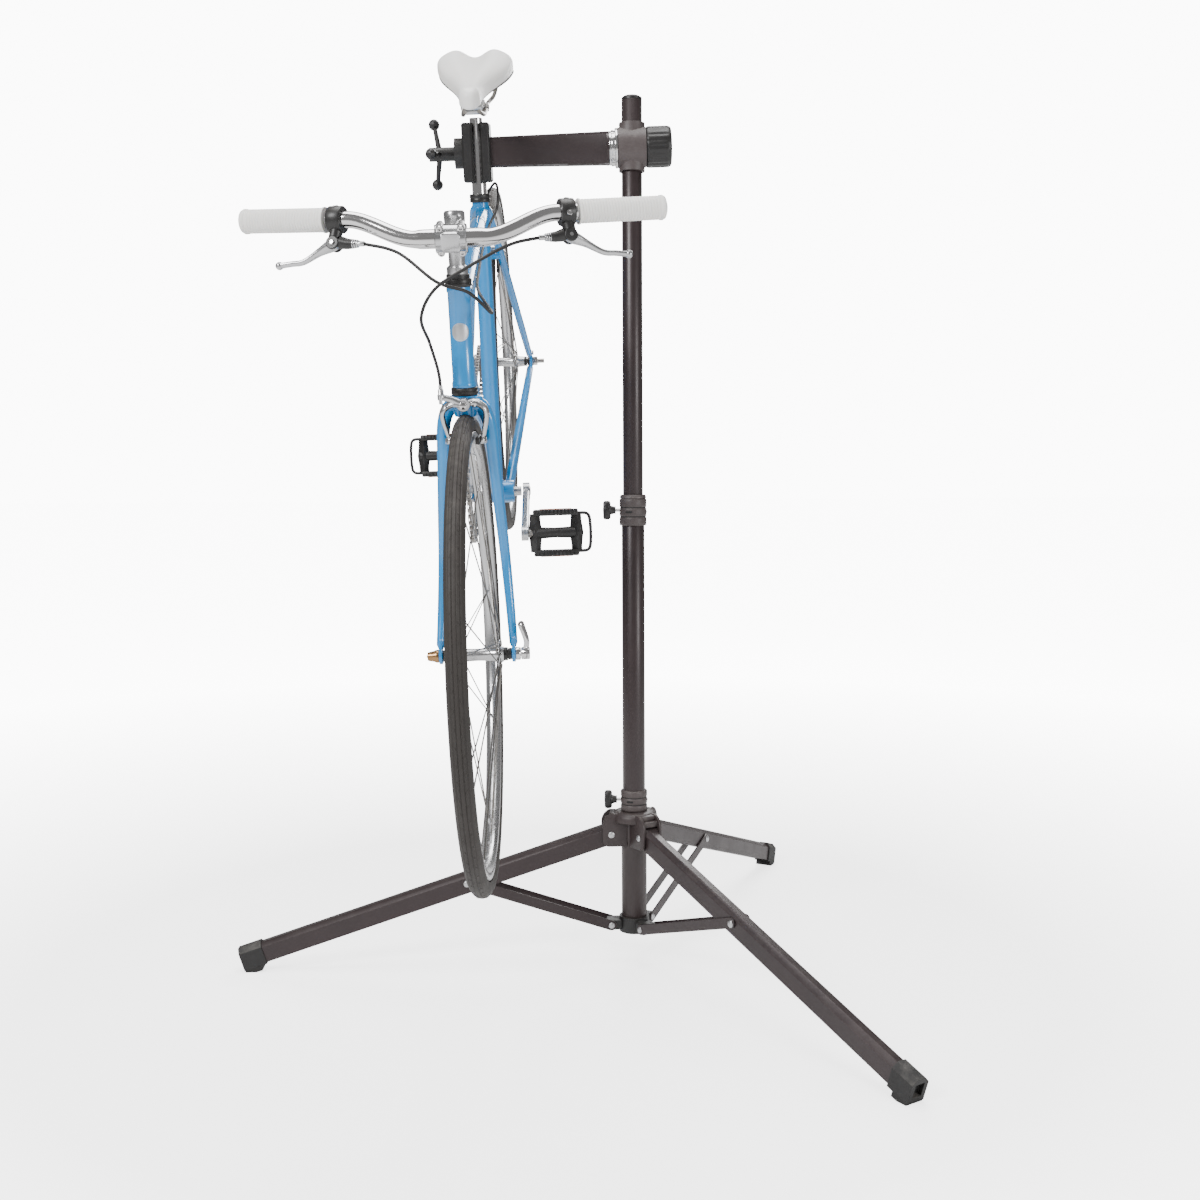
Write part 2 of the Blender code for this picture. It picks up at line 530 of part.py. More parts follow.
def make_clamp_arm():
    inner, outer = -(BARREL_HALF + LOCK_RING_LENGTH + GAP), -(ARM_LENGTH - FIXED_JAW_OUT - GAP)
    form = bmesh.new()
    bmesh.ops.create_cube(form, size=1)
    for corner in form.verts:
        head = corner.co.x > 0
        height = ARM_HEIGHT_HEAD if head else ARM_HEIGHT_CLAMP
        corner.co = (inner if head else outer, corner.co.y * ARM_DEPTH, corner.co.z * height)
    bmesh.ops.bevel(form, geom=[e for e in form.edges if abs(e.verts[0].co.x - e.verts[1].co.x)
                                > 0.1], offset=0.004, segments=2, affect="EDGES", profile=0.5)
    tube = place("clamp_arm", mesh_from("clamp_arm", form), arm, "anodised")
    stub = rod("arm_stub", arm, (inner - 0.01, 0, 0), (-UPPER_R - 3 * GAP, 0, 0), STUB_R, sides=20)
    disc = rod("arm_disc", arm, (inner - 0.0040, 0, 0), (inner, 0, 0), LOCK_RING_R * 0.98, sides=32)
    fuse(tube, stub, disc)
    bore = rod("arm_spindle_bore", arm, (outer - 0.01, SPINDLE_Y, 0), (outer + 0.03, SPINDLE_Y, 0),
               SPINDLE_R + SLIDE_GAP, sides=16)
    cut(tube, bore)


def make_jaws():
    """Two V-grooved blocks around the seatpost, and the screw behind it that draws them together."""
    centre = -ARM_LENGTH
    depth, middle_y = JAW_FRONT + JAW_BACK, (JAW_BACK - JAW_FRONT) / 2
    bore = SPINDLE_R + SLIDE_GAP
    spans = {"fixed_jaw": (FIXED_JAW_OUT, JAW_IN), "moving_jaw": (-JAW_IN, -MOVING_JAW_OUT)}
    for name, (right, left) in spans.items():
        jaw = block(name, arm, (centre + (right + left) / 2, middle_y, 0),
                    (right - left, depth, JAW_HEIGHT), "black_plastic", bevel=0.003)
        groove = rod(name + "_groove", arm, (centre, 0, -0.1), (centre, 0, 0.1), SEATPOST_R + GAP,
                     sides=24)
        hole = rod(name + "_hole", arm, (centre - 0.06, SPINDLE_Y, 0),
                   (centre + 0.06, SPINDLE_Y, 0), bore, sides=16)
        cut(jaw, groove, hole)
    face = centre - MOVING_JAW_OUT
    housing = rod("housing", arm, (face + 0.002, 0.006, 0), (face - HOUSING_LENGTH, 0.006, 0),
                  HOUSING_R, sides=28)
    jaw = bpy.data.objects["moving_jaw"]
    fuse(jaw, housing)
    hole = rod("housing_hole", arm, (centre - 0.08, SPINDLE_Y, 0), (centre, SPINDLE_Y, 0), bore,
               sides=16)
    cut(jaw, hole)


def make_clamp_handle():
    face = -ARM_LENGTH - MOVING_JAW_OUT - HOUSING_LENGTH - GAP
    end = face - HANDLE_HUB_LENGTH
    axis_at = Vector((0, SPINDLE_Y, 0))
    hub = rod("clamp_handle", arm, axis_at + X * face, axis_at + X * end, HANDLE_HUB_R,
              "black_plastic", sides=24)
    pieces = [rod("screw", arm, axis_at + X * (face - 0.005),
                  axis_at + X * (-ARM_LENGTH + FIXED_JAW_OUT - 0.004), SPINDLE_R, sides=16)]
    for turn in (60, 180, 300):
        way = Vector((0, math.cos(math.radians(turn)), math.sin(math.radians(turn))))
        root = axis_at + X * (face - HANDLE_HUB_LENGTH * 0.6)
        tip = axis_at + way * HANDLE_ARM + X * (root.x - HANDLE_SWEEP)
        pieces.append(rod("arm_rod", arm, root, tip, 0.0052, radius_end=0.0036, sides=12))
        form = bmesh.new()
        bmesh.ops.create_uvsphere(form, u_segments=8, v_segments=6, radius=HANDLE_BALL_R,
                                  matrix=Matrix.Translation(tip))
        pieces.append(place("ball", mesh_from("ball", form), arm))
    fuse(hub, *pieces)
    origin_at(hub, axis_at + X * face)


# ---- bicycle frame ----
SEAT_WAY = Vector((-math.cos(SEAT_ANGLE), 0, math.sin(SEAT_ANGLE)))
HEAD_FORWARD = Vector((math.sin(SEAT_ANGLE), 0, math.cos(SEAT_ANGLE)))
REAR_AXLE = Vector((-math.sqrt(CHAINSTAY**2 - DROP**2), 0, DROP))
FRONT_AXLE = Vector((FRONT_CENTRE, 0, DROP))
RACE = (FRONT_AXLE - HEAD_FORWARD * FORK_RAKE
        + SEAT_WAY * math.sqrt(FORK_LENGTH**2 - FORK_RAKE**2))
HEAD_BOTTOM = RACE + SEAT_WAY * (CUP_HEIGHT + GAP)
HEAD_TOP = HEAD_BOTTOM + SEAT_WAY * HEAD_TUBE
BAR_CLAMP = HEAD_TOP + SEAT_WAY * STEM_RISE + X * STEM_REACH


def make_frame():
    top_tube_end = HEAD_TOP - SEAT_WAY * TOP_TUBE_HEAD
    down_tube_end = HEAD_BOTTOM + SEAT_WAY * DOWN_TUBE_HEAD
    seat_end = SEAT_WAY * TOP_TUBE_SEAT
    frame = rod("frame", bike, HEAD_BOTTOM, HEAD_TOP, HEAD_TUBE_R, "blue_paint", sides=20)
    tubes = [
        rod("seat_tube", bike, (0, 0, 0), SEAT_WAY * SEAT_TUBE, SEAT_TUBE_R, sides=16),
        rod("top_tube", bike, seat_end, top_tube_end, TOP_TUBE_R, sides=14),
        rod("down_tube", bike, (0, 0, 0), down_tube_end, DOWN_TUBE_R, sides=14),
        rod("bb_shell", bike, Y * BB_SHELL_HALF, -Y * BB_SHELL_HALF, BB_SHELL_R, sides=20),
    ]
    drop_middle = REAR_HALF + DROPOUT_THICKNESS / 2
    for side in (1, -1):
        end = REAR_AXLE + Y * side * drop_middle
        low_start = Vector((-0.012, side * 0.024, 0.002))
        high_start = seat_end + Vector((-0.006, side * 0.0125, 0))
        low_way, high_way = (end - low_start).normalized(), (end - high_start).normalized()
        tubes.append(rod("chainstay", bike, low_start, end - low_way * 0.022, CHAINSTAY_R, sides=10))
        tubes.append(rod("seatstay", bike, high_start, end - high_way * 0.022, SEATSTAY_R, sides=10))
        turn = Matrix.Translation(end) @ Matrix.Rotation(math.pi / 2, 4, "X")
        low_root, high_root = -low_way * 0.034, -high_way * 0.034
        outline = (arc((0, 0), 0.0130, 190, 330, 6)
                   + [(low_root.x, low_root.z - 0.004), (low_root.x, low_root.z + 0.004),
                      (0.016, 0.014), (high_root.x + 0.005, high_root.z),
                      (high_root.x - 0.005, high_root.z + 0.003)])
        tubes.append(plate("dropout", bike, outline, DROPOUT_THICKNESS, turn))
    stay_way = (seat_end - REAR_AXLE).normalized()
    bridge_at = REAR_AXLE + stay_way * (WHEEL_R + 0.018)
    bridge_out = Vector((-stay_way.z, 0, stay_way.x))
    tubes.append(rod("brake_bridge", bike, bridge_at + Y * 0.026, bridge_at - Y * 0.026, 0.0060,
                     sides=12))
    fuse(frame, *tubes)
    cut(frame,
        rod("head_bore", bike, HEAD_BOTTOM - SEAT_WAY * 0.02, HEAD_TOP + SEAT_WAY * 0.02,
            HEAD_BORE_R, sides=20),
        rod("post_bore", bike, SEAT_WAY * (CLAMPED_AT - SEATPOST_DEPTH - 0.01),
            SEAT_WAY * (SEAT_TUBE + 0.02), SEATPOST_R + 2 * GAP, sides=20),
        rod("bb_bore", bike, Y * 0.06, -Y * 0.06, SPINDLE_BORE_R, sides=16),
        rod("bridge_bore", bike, bridge_at - bridge_out * 0.02, bridge_at + bridge_out * 0.02, 0.0032,
            sides=12),
        rod("axle_bore", bike, REAR_AXLE + Y * 0.09, REAR_AXLE - Y * 0.09, AXLE_R + GAP, sides=16))
    return bridge_at


def make_seat():
    post_top = SEAT_WAY * SEATPOST_TOP
    turned("seatpost", bike, [
        (0, SEATPOST_TOP), (SEATPOST_R * 0.86, SEATPOST_TOP), (SEATPOST_R * 0.86, SEATPOST_TOP - NECK),
        (SEATPOST_R, SEATPOST_TOP - NECK - 0.005), (SEATPOST_R, CLAMPED_AT - SEATPOST_DEPTH),
        (0, CLAMPED_AT - SEATPOST_DEPTH)], "chrome", axis=SEAT_WAY, steps=24)
    collar = turned("seat_clamp", bike, tube_profile(
        SEAT_TUBE_R + 0.0030, SEAT_TUBE_R + GAP, SEAT_TUBE, SEAT_TUBE - 0.0140), "black_plastic",
        axis=SEAT_WAY, steps=24)
    back = SEAT_WAY * (SEAT_TUBE - 0.0070) - HEAD_FORWARD * (SEAT_TUBE_R + 0.0060)
    fuse(collar, rod("seat_bolt", bike, back - Y * 0.011, back + Y * 0.011, 0.0045, sides=12))
    clamp_at = post_top + SEAT_WAY * 0.017
    rails = block("saddle_rails", bike, clamp_at, (0.040, 0.034, 0.0170), "steel", bevel=0.003)
    wires = []
    for side in (1, -1):
        wires.append(curved("rail_wire", bike, smooth_path([
            clamp_at + Vector((-0.085, side * 0.036, 0.020)), clamp_at + Vector((-0.060, side * 0.030, 0.004)),
            clamp_at + Vector((-0.020, side * 0.020, 0.0)), clamp_at + Vector((0.045, side * 0.018, 0.0)),
            clamp_at + Vector((0.085, side * 0.012, 0.014)),
            clamp_at + Vector((0.105, side * 0.007, 0.018))], 3), RAIL_R, sides=1))
    wires.append(rod("post_head", bike, post_top + SEAT_WAY * GAP, clamp_at, SEATPOST_R * 1.05, sides=16))
    fuse(rails, *wires)
    make_saddle(clamp_at)


def make_saddle(clamp_at):
    """A closed cage lofted from tail to nose, then rounded."""
    base = clamp_at + Vector((0, 0, 0.024))
    stations = 9
    form = bmesh.new()
    rows = []
    for i in range(stations):
        t = i / (stations - 1)
        x = -SADDLE_LENGTH * 0.46 + SADDLE_LENGTH * t
        wide = SADDLE_NOSE / 2 + (SADDLE_WIDTH - SADDLE_NOSE) / 2 * max(0, 1 - t * 1.75) ** 0.8
        wide *= 0.86 if i == 0 else 1
        rise = 0.012 * (1 - t) ** 2
        tall = SADDLE_HEIGHT * (0.8 if i in (0, stations - 1) else 1)
        skirt = 0.010 if t > 0.2 else 0.016
        rows.append([form.verts.new(base + Vector((x, y * wide, z))) for y, z in (
            (-1, skirt), (-0.92, tall * 0.72 + rise), (0, tall + rise), (0.92, tall * 0.72 + rise),
            (1, skirt), (0.62, 0.006), (-0.62, 0.006))])
    for one, two in zip(rows, rows[1:]):
        for i in range(7):
            form.faces.new((one[i], one[(i + 1) % 7], two[(i + 1) % 7], two[i]))
    form.faces.new(rows[0])
    form.faces.new(rows[-1])
    saddle = place("saddle", mesh_from("saddle", form), bike, "white_vinyl")
    smooth = saddle.modifiers.new("soften", "SUBSURF")
    smooth.levels = smooth.render_levels = 1
    return saddle


# ---- front end ----
def make_fork():
    steerer_top = HEAD_TOP + SEAT_WAY * 0.0200
    fork = rod("fork", bike, RACE - SEAT_WAY * CROWN_HEIGHT / 2, steerer_top, STEERER_R, "blue_paint",
               sides=18)
    crown_turn = Matrix.Rotation(SEAT_ANGLE - math.pi / 2, 4, "Y")
    pieces = [block("crown", bike, RACE - SEAT_WAY * CROWN_HEIGHT / 2,
                    (CROWN_DEPTH, 2 * CROWN_HALF, CROWN_HEIGHT), turn=crown_turn, bevel=0.0040)]
    for side in (1, -1):
        top = RACE - SEAT_WAY * CROWN_HEIGHT * 0.4 + Y * side * BLADE_HALF_TOP
        end = FRONT_AXLE + Y * side * (FRONT_HALF + DROPOUT_THICKNESS / 2)
        straight = FORK_LENGTH * 0.62
        knee = top - SEAT_WAY * straight + Y * side * (end.y * side - BLADE_HALF_TOP) * 0.66
        tip = end + SEAT_WAY * 0.016 - HEAD_FORWARD * 0.003
        path = smooth_path([top, (top * 2 + knee) / 3, (top + knee * 2) / 3, knee,
                            knee * 0.45 + tip * 0.55 - HEAD_FORWARD * 0.006, tip], 2)
        radii = [BLADE_R_TOP + (BLADE_R_END - BLADE_R_TOP) * i / (len(path) - 1)
                 for i in range(len(path))]
        pieces.append(curved("blade", bike, path, BLADE_R_TOP, radii=radii, sides=2))
        turn = Matrix.Translation(end) @ Matrix.Rotation(math.pi / 2, 4, "X")
        up = SEAT_WAY * 0.026 - HEAD_FORWARD * 0.003
        outline = arc((0, 0), 0.0120, 150, 400, 9) + [(up.x + 0.006, up.z), (up.x - 0.006, up.z)]
        pieces.append(plate("fork_end", bike, outline, DROPOUT_THICKNESS, turn))
    fuse(fork, *pieces)
    cut(fork,
        rod("quill_bore", bike, HEAD_TOP - SEAT_WAY * 0.100, HEAD_TOP + SEAT_WAY * 0.06,
            STEERER_R - STEERER_WALL, sides=18),
        rod("axle_bore_front", bike, FRONT_AXLE + Y * 0.09, FRONT_AXLE - Y * 0.09, AXLE_R + GAP,
            sides=16),
        rod("caliper_bore", bike, front_pivot() - HEAD_FORWARD * 0.05, front_pivot()
            + HEAD_FORWARD * 0.02, 0.0035, sides=12))


def front_pivot():
    """Where the front caliper's bolt leaves the crown."""
    return RACE - SEAT_WAY * CROWN_HEIGHT / 2 + HEAD_FORWARD * (CROWN_DEPTH / 2 + GAP)


def make_headset():
    lower_top = HEAD_BOTTOM - SEAT_WAY * GAP
    bore = STEERER_R + SLIDE_GAP
    turned("headset_lower", bike, tube_profile(CUP_R, bore, 0, -(CUP_HEIGHT - GAP)),
           "black_plastic", at=lower_top, axis=SEAT_WAY, steps=20)
    turned("headset_upper", bike, [
        (CUP_R * 0.86, CUP_HEIGHT + 0.006), (CUP_R, CUP_HEIGHT), (CUP_R, 0.003), (CUP_R * 0.92, 0),
        (bore, 0), (bore, CUP_HEIGHT + 0.006)],
        "black_plastic", at=HEAD_TOP + SEAT_WAY * GAP, axis=SEAT_WAY, steps=20)


def make_stem():
    elbow = HEAD_TOP + SEAT_WAY * STEM_RISE
    stem = rod("stem", bike, HEAD_TOP - SEAT_WAY * QUILL_DEPTH, elbow, QUILL_R - GAP, "alloy", sides=18)
    reach_way = (BAR_CLAMP - elbow).normalized()
    collar = rod("bar_collar", bike, BAR_CLAMP - Y * 0.021, BAR_CLAMP + Y * 0.021,
                 BAR_CLAMP_R + 0.0060, sides=28)
    boss = rod("stem_boss", bike, elbow - SEAT_WAY * 0.018, elbow + SEAT_WAY * 0.014, QUILL_R
               + 0.0035, sides=24)
    neck = rod("stem_neck", bike, elbow, BAR_CLAMP - reach_way * 0.010, 0.0125, sides=20)
    fuse(stem, collar, boss, neck)
    cut(stem, rod("bar_bore", bike, BAR_CLAMP - Y * 0.05, BAR_CLAMP + Y * 0.05, BAR_CLAMP_R + GAP,
                  sides=28))


def bar_point(y):
    """The bar's axis at a distance y to the left of its middle."""
    reach = abs(y)
    flat, bend_end = 0.045, 0.140
    blend = min(max((reach - flat) / (bend_end - flat), 0), 1)
    ease = blend * blend * (3 - 2 * blend)
    tail = max(reach - bend_end, 0) / (BAR_HALF - bend_end)
    back = BAR_BACK * ease + (BAR_SWEEP - BAR_BACK) * tail
    return BAR_CLAMP + Vector((-back, y, BAR_RISE * ease * (1 - 0.55 * tail)))


def make_bar():
    steps = 28
    ys = [BAR_HALF * (2 * i / steps - 1) for i in range(steps + 1)]
    radii = [BAR_CLAMP_R if abs(y) < 0.04 else BAR_R for y in ys]
    curved("handlebar", bike, [bar_point(y) for y in ys], BAR_CLAMP_R, "chrome", radii=radii, sides=2)
    for name, side in (("left", 1), ("right", -1)):
        tip = bar_point(side * BAR_HALF)
        root = bar_point(side * (BAR_HALF - GRIP_LENGTH))
        way = (tip - root).normalized()
        grip = turned("grip_" + name, bike, [
            (GRIP_R * 0.80, 0.004), (GRIP_R * 1.04, 0), (GRIP_R * 1.04, -0.006), (GRIP_R, -0.010),
            (GRIP_R, -GRIP_LENGTH + 0.004), (GRIP_R * 1.10, -GRIP_LENGTH), (BAR_R + 0.0010,
             -GRIP_LENGTH), (BAR_R + 0.0010, 0.004)], "white_rubber", at=tip, axis=way, steps=18)
        clamp_mid = bar_point(side * LEVER_CLAMP_AT)
        across = (bar_point(side * (LEVER_CLAMP_AT + 0.01))
                  - bar_point(side * (LEVER_CLAMP_AT - 0.01))).normalized()
        make_brake_lever(name, side, clamp_mid, across)


LEVER_DOWN = Vector((0.62, 0, -0.785))  # the way the levers' brackets hang from the bar


def lever_pivot(side):
    return bar_point(side * LEVER_CLAMP_AT) + LEVER_DOWN * 0.0330 + Y * side * 0.004


def make_brake_lever(name, side, middle, across):
    half = LEVER_CLAMP_WIDTH / 2
    clamp = rod("lever_clamp_" + name, bike, middle - across * half, middle + across * half,
                LEVER_CLAMP_R, "black_plastic", sides=16)
    pivot = lever_pivot(side)
    normal = across.cross(LEVER_DOWN).normalized()
    neck = rod("lever_neck", bike, middle, pivot, 0.0085, sides=14)
    boss = rod("lever_boss", bike, pivot - normal * 0.009, pivot + normal * 0.009, 0.0090, sides=12)
    stop = rod("cable_stop", bike, pivot, pivot - across * 0.030, 0.0088, radius_end=0.0045,
               sides=12)
    fuse(clamp, neck, boss, stop)
    cut(clamp, rod("clamp_bore", bike, middle - across * 0.05, middle + across * 0.05, BAR_R
                   + 0.0010, sides=16),
        rod("boss_slot", bike, pivot - normal * 0.0052, pivot + normal * 0.0052, 0.0125, sides=20),
        rod("pin_bore", bike, pivot - normal * 0.02, pivot + normal * 0.02, 0.0029, sides=8))
    reach = middle + across * (GRIP_LENGTH * 0.71) + LEVER_DOWN * 0.062
    path = smooth_path([pivot, pivot + across * 0.020 + LEVER_DOWN * 0.010,
                        pivot + across * 0.045 + LEVER_DOWN * 0.024, reach], 3)
    blade = curved("brake_lever_" + name, bike, path, 0.0048, "alloy",
                   radii=[0.0044] + [0.0048] * (len(path) - 2) + [0.0056], sides=2)
    eye = rod("lever_eye", bike, pivot - normal * 0.0046, pivot + normal * 0.0046, 0.0080, sides=20)
    pin = rod("lever_pin", bike, pivot - normal * 0.0085, pivot + normal * 0.0085, 0.0023, sides=8)
    fuse(blade, eye, pin)
    origin_at(blade, pivot)


# ---- brakes ----
def make_caliper(end, pivot, up, out, rim_middle, bolt):
    """Two arms about one bolt: the front arm also carries the bolt and its nut."""
    for name, side in (("left", 1), ("right", -1)):
        layer = out * (0.0095 if side > 0 else 0.0190)
        seat = pivot + layer
        pad_at = rim_middle + Y * side * (RIM_WIDTH / 2 + 0.0030)
        hip = seat + Y * side * 0.030 - up * 0.010
        knee = pad_at + Y * side * 0.0120 + up * 0.012
        path = smooth_path([seat + up * 0.001, seat + Y * side * 0.016 + up * 0.002, hip, knee,
                            pad_at + Y * side * 0.0085], 2)
        arm_rod = curved(f"{end}_brake_arm_{name}", bike, path, 0.0044, "alloy", sides=2)
        pieces = [rod("arm_eye", bike, seat - out * 0.0043, seat + out * 0.0043, 0.0090, sides=16),
                  rod("pad_post", bike, pad_at + Y * side * 0.012, pad_at, 0.0030, sides=10),
                  block("brake_pad", bike, pad_at + Y * side * 0.0025, (0.045, 0.0050, 0.0100),
                        turn=Matrix.Rotation(pad_slope(rim_middle, end), 4, "Y"))]
        if side < 0:
            horn = seat - Y * 0.030 + up * 0.012
            pieces.append(rod("cable_arm", bike, seat, horn, 0.0040, sides=10))
            pieces.append(rod("bolt", bike, pivot - out * bolt, seat + out * 0.009, 0.0029,
                              sides=12))
        fuse(arm_rod, *pieces)
        if side > 0:
            cut(arm_rod, rod("eye_bore", bike, pivot - out * 0.01, pivot + out * 0.03, 0.0034,
                             sides=12))
        origin_at(arm_rod, pivot)


def pad_slope(rim_middle, end):
    axle = FRONT_AXLE if end == "front" else REAR_AXLE
    spoke = rim_middle - axle
    return math.atan2(spoke.x, spoke.z)


def make_brakes(bridge_at):
    brake_track = WHEEL_R - 2 * TYRE_R - 0.0075
    pivot = front_pivot()
    front_way = (pivot - FRONT_AXLE).normalized()
    make_caliper("front", pivot, SEAT_WAY, HEAD_FORWARD, FRONT_AXLE + front_way * brake_track,
                 CROWN_DEPTH / 2 + 0.0020)
    rear_way = (bridge_at - REAR_AXLE).normalized()
    out = Vector((-rear_way.z, 0, rear_way.x))
    rear_pivot = bridge_at + out * (0.0060 + GAP)
    rear_rim = REAR_AXLE + (rear_pivot + out * 0.024 - REAR_AXLE).normalized() * brake_track
    make_caliper("rear", rear_pivot, rear_way, out, rear_rim, 0.0160)
    return rear_pivot, rear_way, out


# ---- wheels ----
def make_wheel(end, axle, over_locknuts):
    flange = HUB_FLANGE_HALF
    rim_outer = WHEEL_R - 2 * TYRE_R - 2 * GAP
    turned(end + "_tyre", bike, [
        (WHEEL_R - TYRE_R + TYRE_R * math.cos(a), TYRE_R * math.sin(a))
        for a in (math.radians(90 - 360 * i / 8) for i in range(8))], "rubber",
        at=axle, axis=Y, steps=48)
    half = RIM_WIDTH / 2
    turned(end + "_rim", bike, [
        (rim_outer, half), (rim_outer, -half), (rim_outer - RIM_DEPTH * 0.6, -half),
        (rim_outer - RIM_DEPTH, -half * 0.4), (rim_outer - RIM_DEPTH, half * 0.4),
        (rim_outer - RIM_DEPTH * 0.6, half)], "alloy", at=axle, axis=Y, steps=48)
    stub = over_locknuts + DROPOUT_THICKNESS
    nut = 0.0 if end == "front" else AXLE_PAST_NUT
    bore = SKEWER_R + GAP
    profile = []
    for side in (1, -1):
        rows = [(AXLE_R, stub + nut), (AXLE_R, over_locknuts - GAP), (0.0085, over_locknuts - GAP),
                (0.0085, flange + 0.006), (HUB_FLANGE_R, flange + 0.0015),
                (HUB_FLANGE_R, flange - 0.0015), (HUB_BARREL_R, flange - 0.004)]
        profile += [(r, side * y) for r, y in (rows if side > 0 else reversed(rows))]
    profile += [(bore, -stub - nut), (bore, stub + nut)]
    hub = turned(end + "_hub", bike, profile, "alloy", at=axle, axis=Y, steps=14)
    spokes = []
    for i in range(SPOKES):
        turn = 2 * math.pi * i / SPOKES
        way = Vector((math.cos(turn), 0, math.sin(turn)))
        side = flange if i % 2 else -flange
        spokes.append(rod("spoke", bike, axle + way * (HUB_FLANGE_R - 0.003) + Y * side,
                          axle + way * (rim_outer - RIM_DEPTH - 4 * GAP) + Y * side * 0.12,
                          SPOKE_R, sides=3))
    fuse(hub, *spokes)


def make_axle_fittings():
    out = FRONT_HALF + DROPOUT_THICKNESS + GAP
    skewer = rod("front_skewer", bike, FRONT_AXLE - Y * (out + 0.018), FRONT_AXLE + Y * (out + 0.020),
                 SKEWER_R, "chrome", sides=12)
    nut = rod("skewer_nut", bike, FRONT_AXLE - Y * (out + 0.017), FRONT_AXLE - Y * out, 0.0060,
              radius_end=0.0095, sides=20)
    seat = rod("skewer_seat", bike, FRONT_AXLE + Y * out, FRONT_AXLE + Y * (out + 0.007), 0.0095,
               sides=20)
    fuse(skewer, nut, seat)
    hinge = FRONT_AXLE + Y * (out + 0.0140)
    lever = rod("quick_release_lever", bike, hinge - Y * 0.0062, hinge + Y * 0.0062, 0.0090,
                "chrome", sides=20)
    fuse(lever, curved("release_blade", bike, smooth_path([
        hinge, hinge + SEAT_WAY * 0.020 + Y * 0.002, hinge + SEAT_WAY * 0.048 - Y * 0.006], 3),
        0.0042, sides=1))
    cut(lever, rod("lever_bore", bike, hinge - Y * 0.03, hinge + Y * 0.03, SKEWER_R + GAP, sides=12))


# ---- drive ----
def make_drive():
    spindle_end = CRANK_INNER + CRANK_THICKNESS
    crank_end = {"left": Vector((math.cos(CRANK_TURN), 0, math.sin(CRANK_TURN))) * CRANK}
    crank_end["right"] = -crank_end["left"]
    right = rod("crank_right", bike, -Y * spindle_end, Y * (CRANK_INNER - 0.003),
                SPINDLE_BORE_R - SLIDE_GAP, "alloy", sides=20)
    ring_mid = -Y * CHAINLINE
    ring = turned("chainring", bike, tube_profile(RING_TEETH_R - CHAIN_HALF - TOOTH_GAP, 0.062, 0.0015,
                                                  -0.0015),
                  at=ring_mid, axis=Y, steps=30)
    spider = [rod("spider", bike, ring_mid, ring_mid + Vector((math.cos(a), 0, math.sin(a))) * 0.066,
                  0.0060, sides=8, radius_end=0.0040)
              for a in (2 * math.pi * i / 5 + 0.3 for i in range(5))]
    hub = rod("spider_hub", bike, ring_mid - Y * 0.008, ring_mid + Y * 0.0025, 0.0190, sides=24)
    fuse(right, ring, hub, *spider, *crank_arm("right", crank_end["right"]))
    left = rod("crank_left", bike, Y * CRANK_INNER, Y * spindle_end, 0.0150, "alloy", sides=24)
    fuse(left, *crank_arm("left", crank_end["left"]))
    for name, side in (("left", 1), ("right", -1)):
        make_pedal(name, side, crank_end[name] + Y * side * (CRANK_OUTER + CRANK_THICKNESS / 2))
    make_freewheel()
    make_chain()


def crank_arm(name, end):
    side = 1 if name == "left" else -1
    inner = Y * side * (CRANK_INNER + CRANK_THICKNESS / 2)
    outer = end + Y * side * CRANK_OUTER
    turn = Matrix.Rotation(math.pi / 2, 3, "Y")
    thick = Y * side * CRANK_THICKNESS / 2
    way = (outer - inner).normalized()
    across = way.cross(Y).normalized()
    basis = Matrix((way, across, way.cross(across))).transposed().to_4x4()
    bar = block("crank_bar", bike, (inner + outer) / 2, ((outer - inner).length, 0.0190,
                                                         CRANK_THICKNESS), turn=basis, bevel=0.003)
    eye = rod("pedal_eye", bike, outer - thick, outer + thick, 0.0125, sides=20)
    boss = rod("crank_boss", bike, inner - thick, inner + thick, 0.0150, sides=24)
    return bar, eye, boss


def make_pedal(name, side, start):
    """A cage with two windows and an outer loop, on an axle."""
    frame = empty(f"pedal_{name}_axle", start, (0, PEDAL_TURN, 0), bike)
    first = 0.0060
    middle = first + PEDAL_SPAN / 2
    cage = block("pedal_" + name, frame, (0, side * middle, 0),
                 (PEDAL_LENGTH, PEDAL_SPAN, PEDAL_THICKNESS), "black_plastic", bevel=0.003)
    loop_mid = first + PEDAL_SPAN
    loop = curved("pedal_loop", frame, smooth_path([
        (-PEDAL_LENGTH * 0.40, side * (loop_mid - 0.004), 0),
        (-PEDAL_LENGTH * 0.38, side * (loop_mid + PEDAL_LOOP * 0.7), 0),
        (-PEDAL_LENGTH * 0.22, side * (loop_mid + PEDAL_LOOP - 0.003), 0),
        (PEDAL_LENGTH * 0.22, side * (loop_mid + PEDAL_LOOP - 0.003), 0),
        (PEDAL_LENGTH * 0.38, side * (loop_mid + PEDAL_LOOP * 0.7), 0),
        (PEDAL_LENGTH * 0.40, side * (loop_mid - 0.004), 0)], 3), 0.0030, sides=1)
    axle = rod("pedal_axle", frame, (0, side * GAP, 0), (0, side * (first + 0.01), 0), 0.0070,
               sides=14)
    fuse(cage, loop, axle)
    windows = [block("window", frame, (x * PEDAL_LENGTH * 0.26, side * middle, 0),
                     (PEDAL_LENGTH * 0.30, PEDAL_SPAN * 0.74, 0.05)) for x in (1, -1)]
    cut(cage, *windows)


def make_freewheel():
    inner, outer = HUB_FLANGE_HALF + 0.0065, REAR_HALF - 0.0060
    mid, teeth = CHAINLINE, COG_R - CHAIN_HALF - TOOTH_GAP
    turned("freewheel", bike, [
        (0.0175, outer), (0.0175, mid + 0.0015), (teeth, mid + 0.0015),
        (teeth, mid - 0.0015), (0.0175, mid - 0.0015), (0.0175, inner),
        (0.0085 + SLIDE_GAP, inner), (0.0085 + SLIDE_GAP, outer)], "steel", at=REAR_AXLE, axis=-Y,
        steps=32)


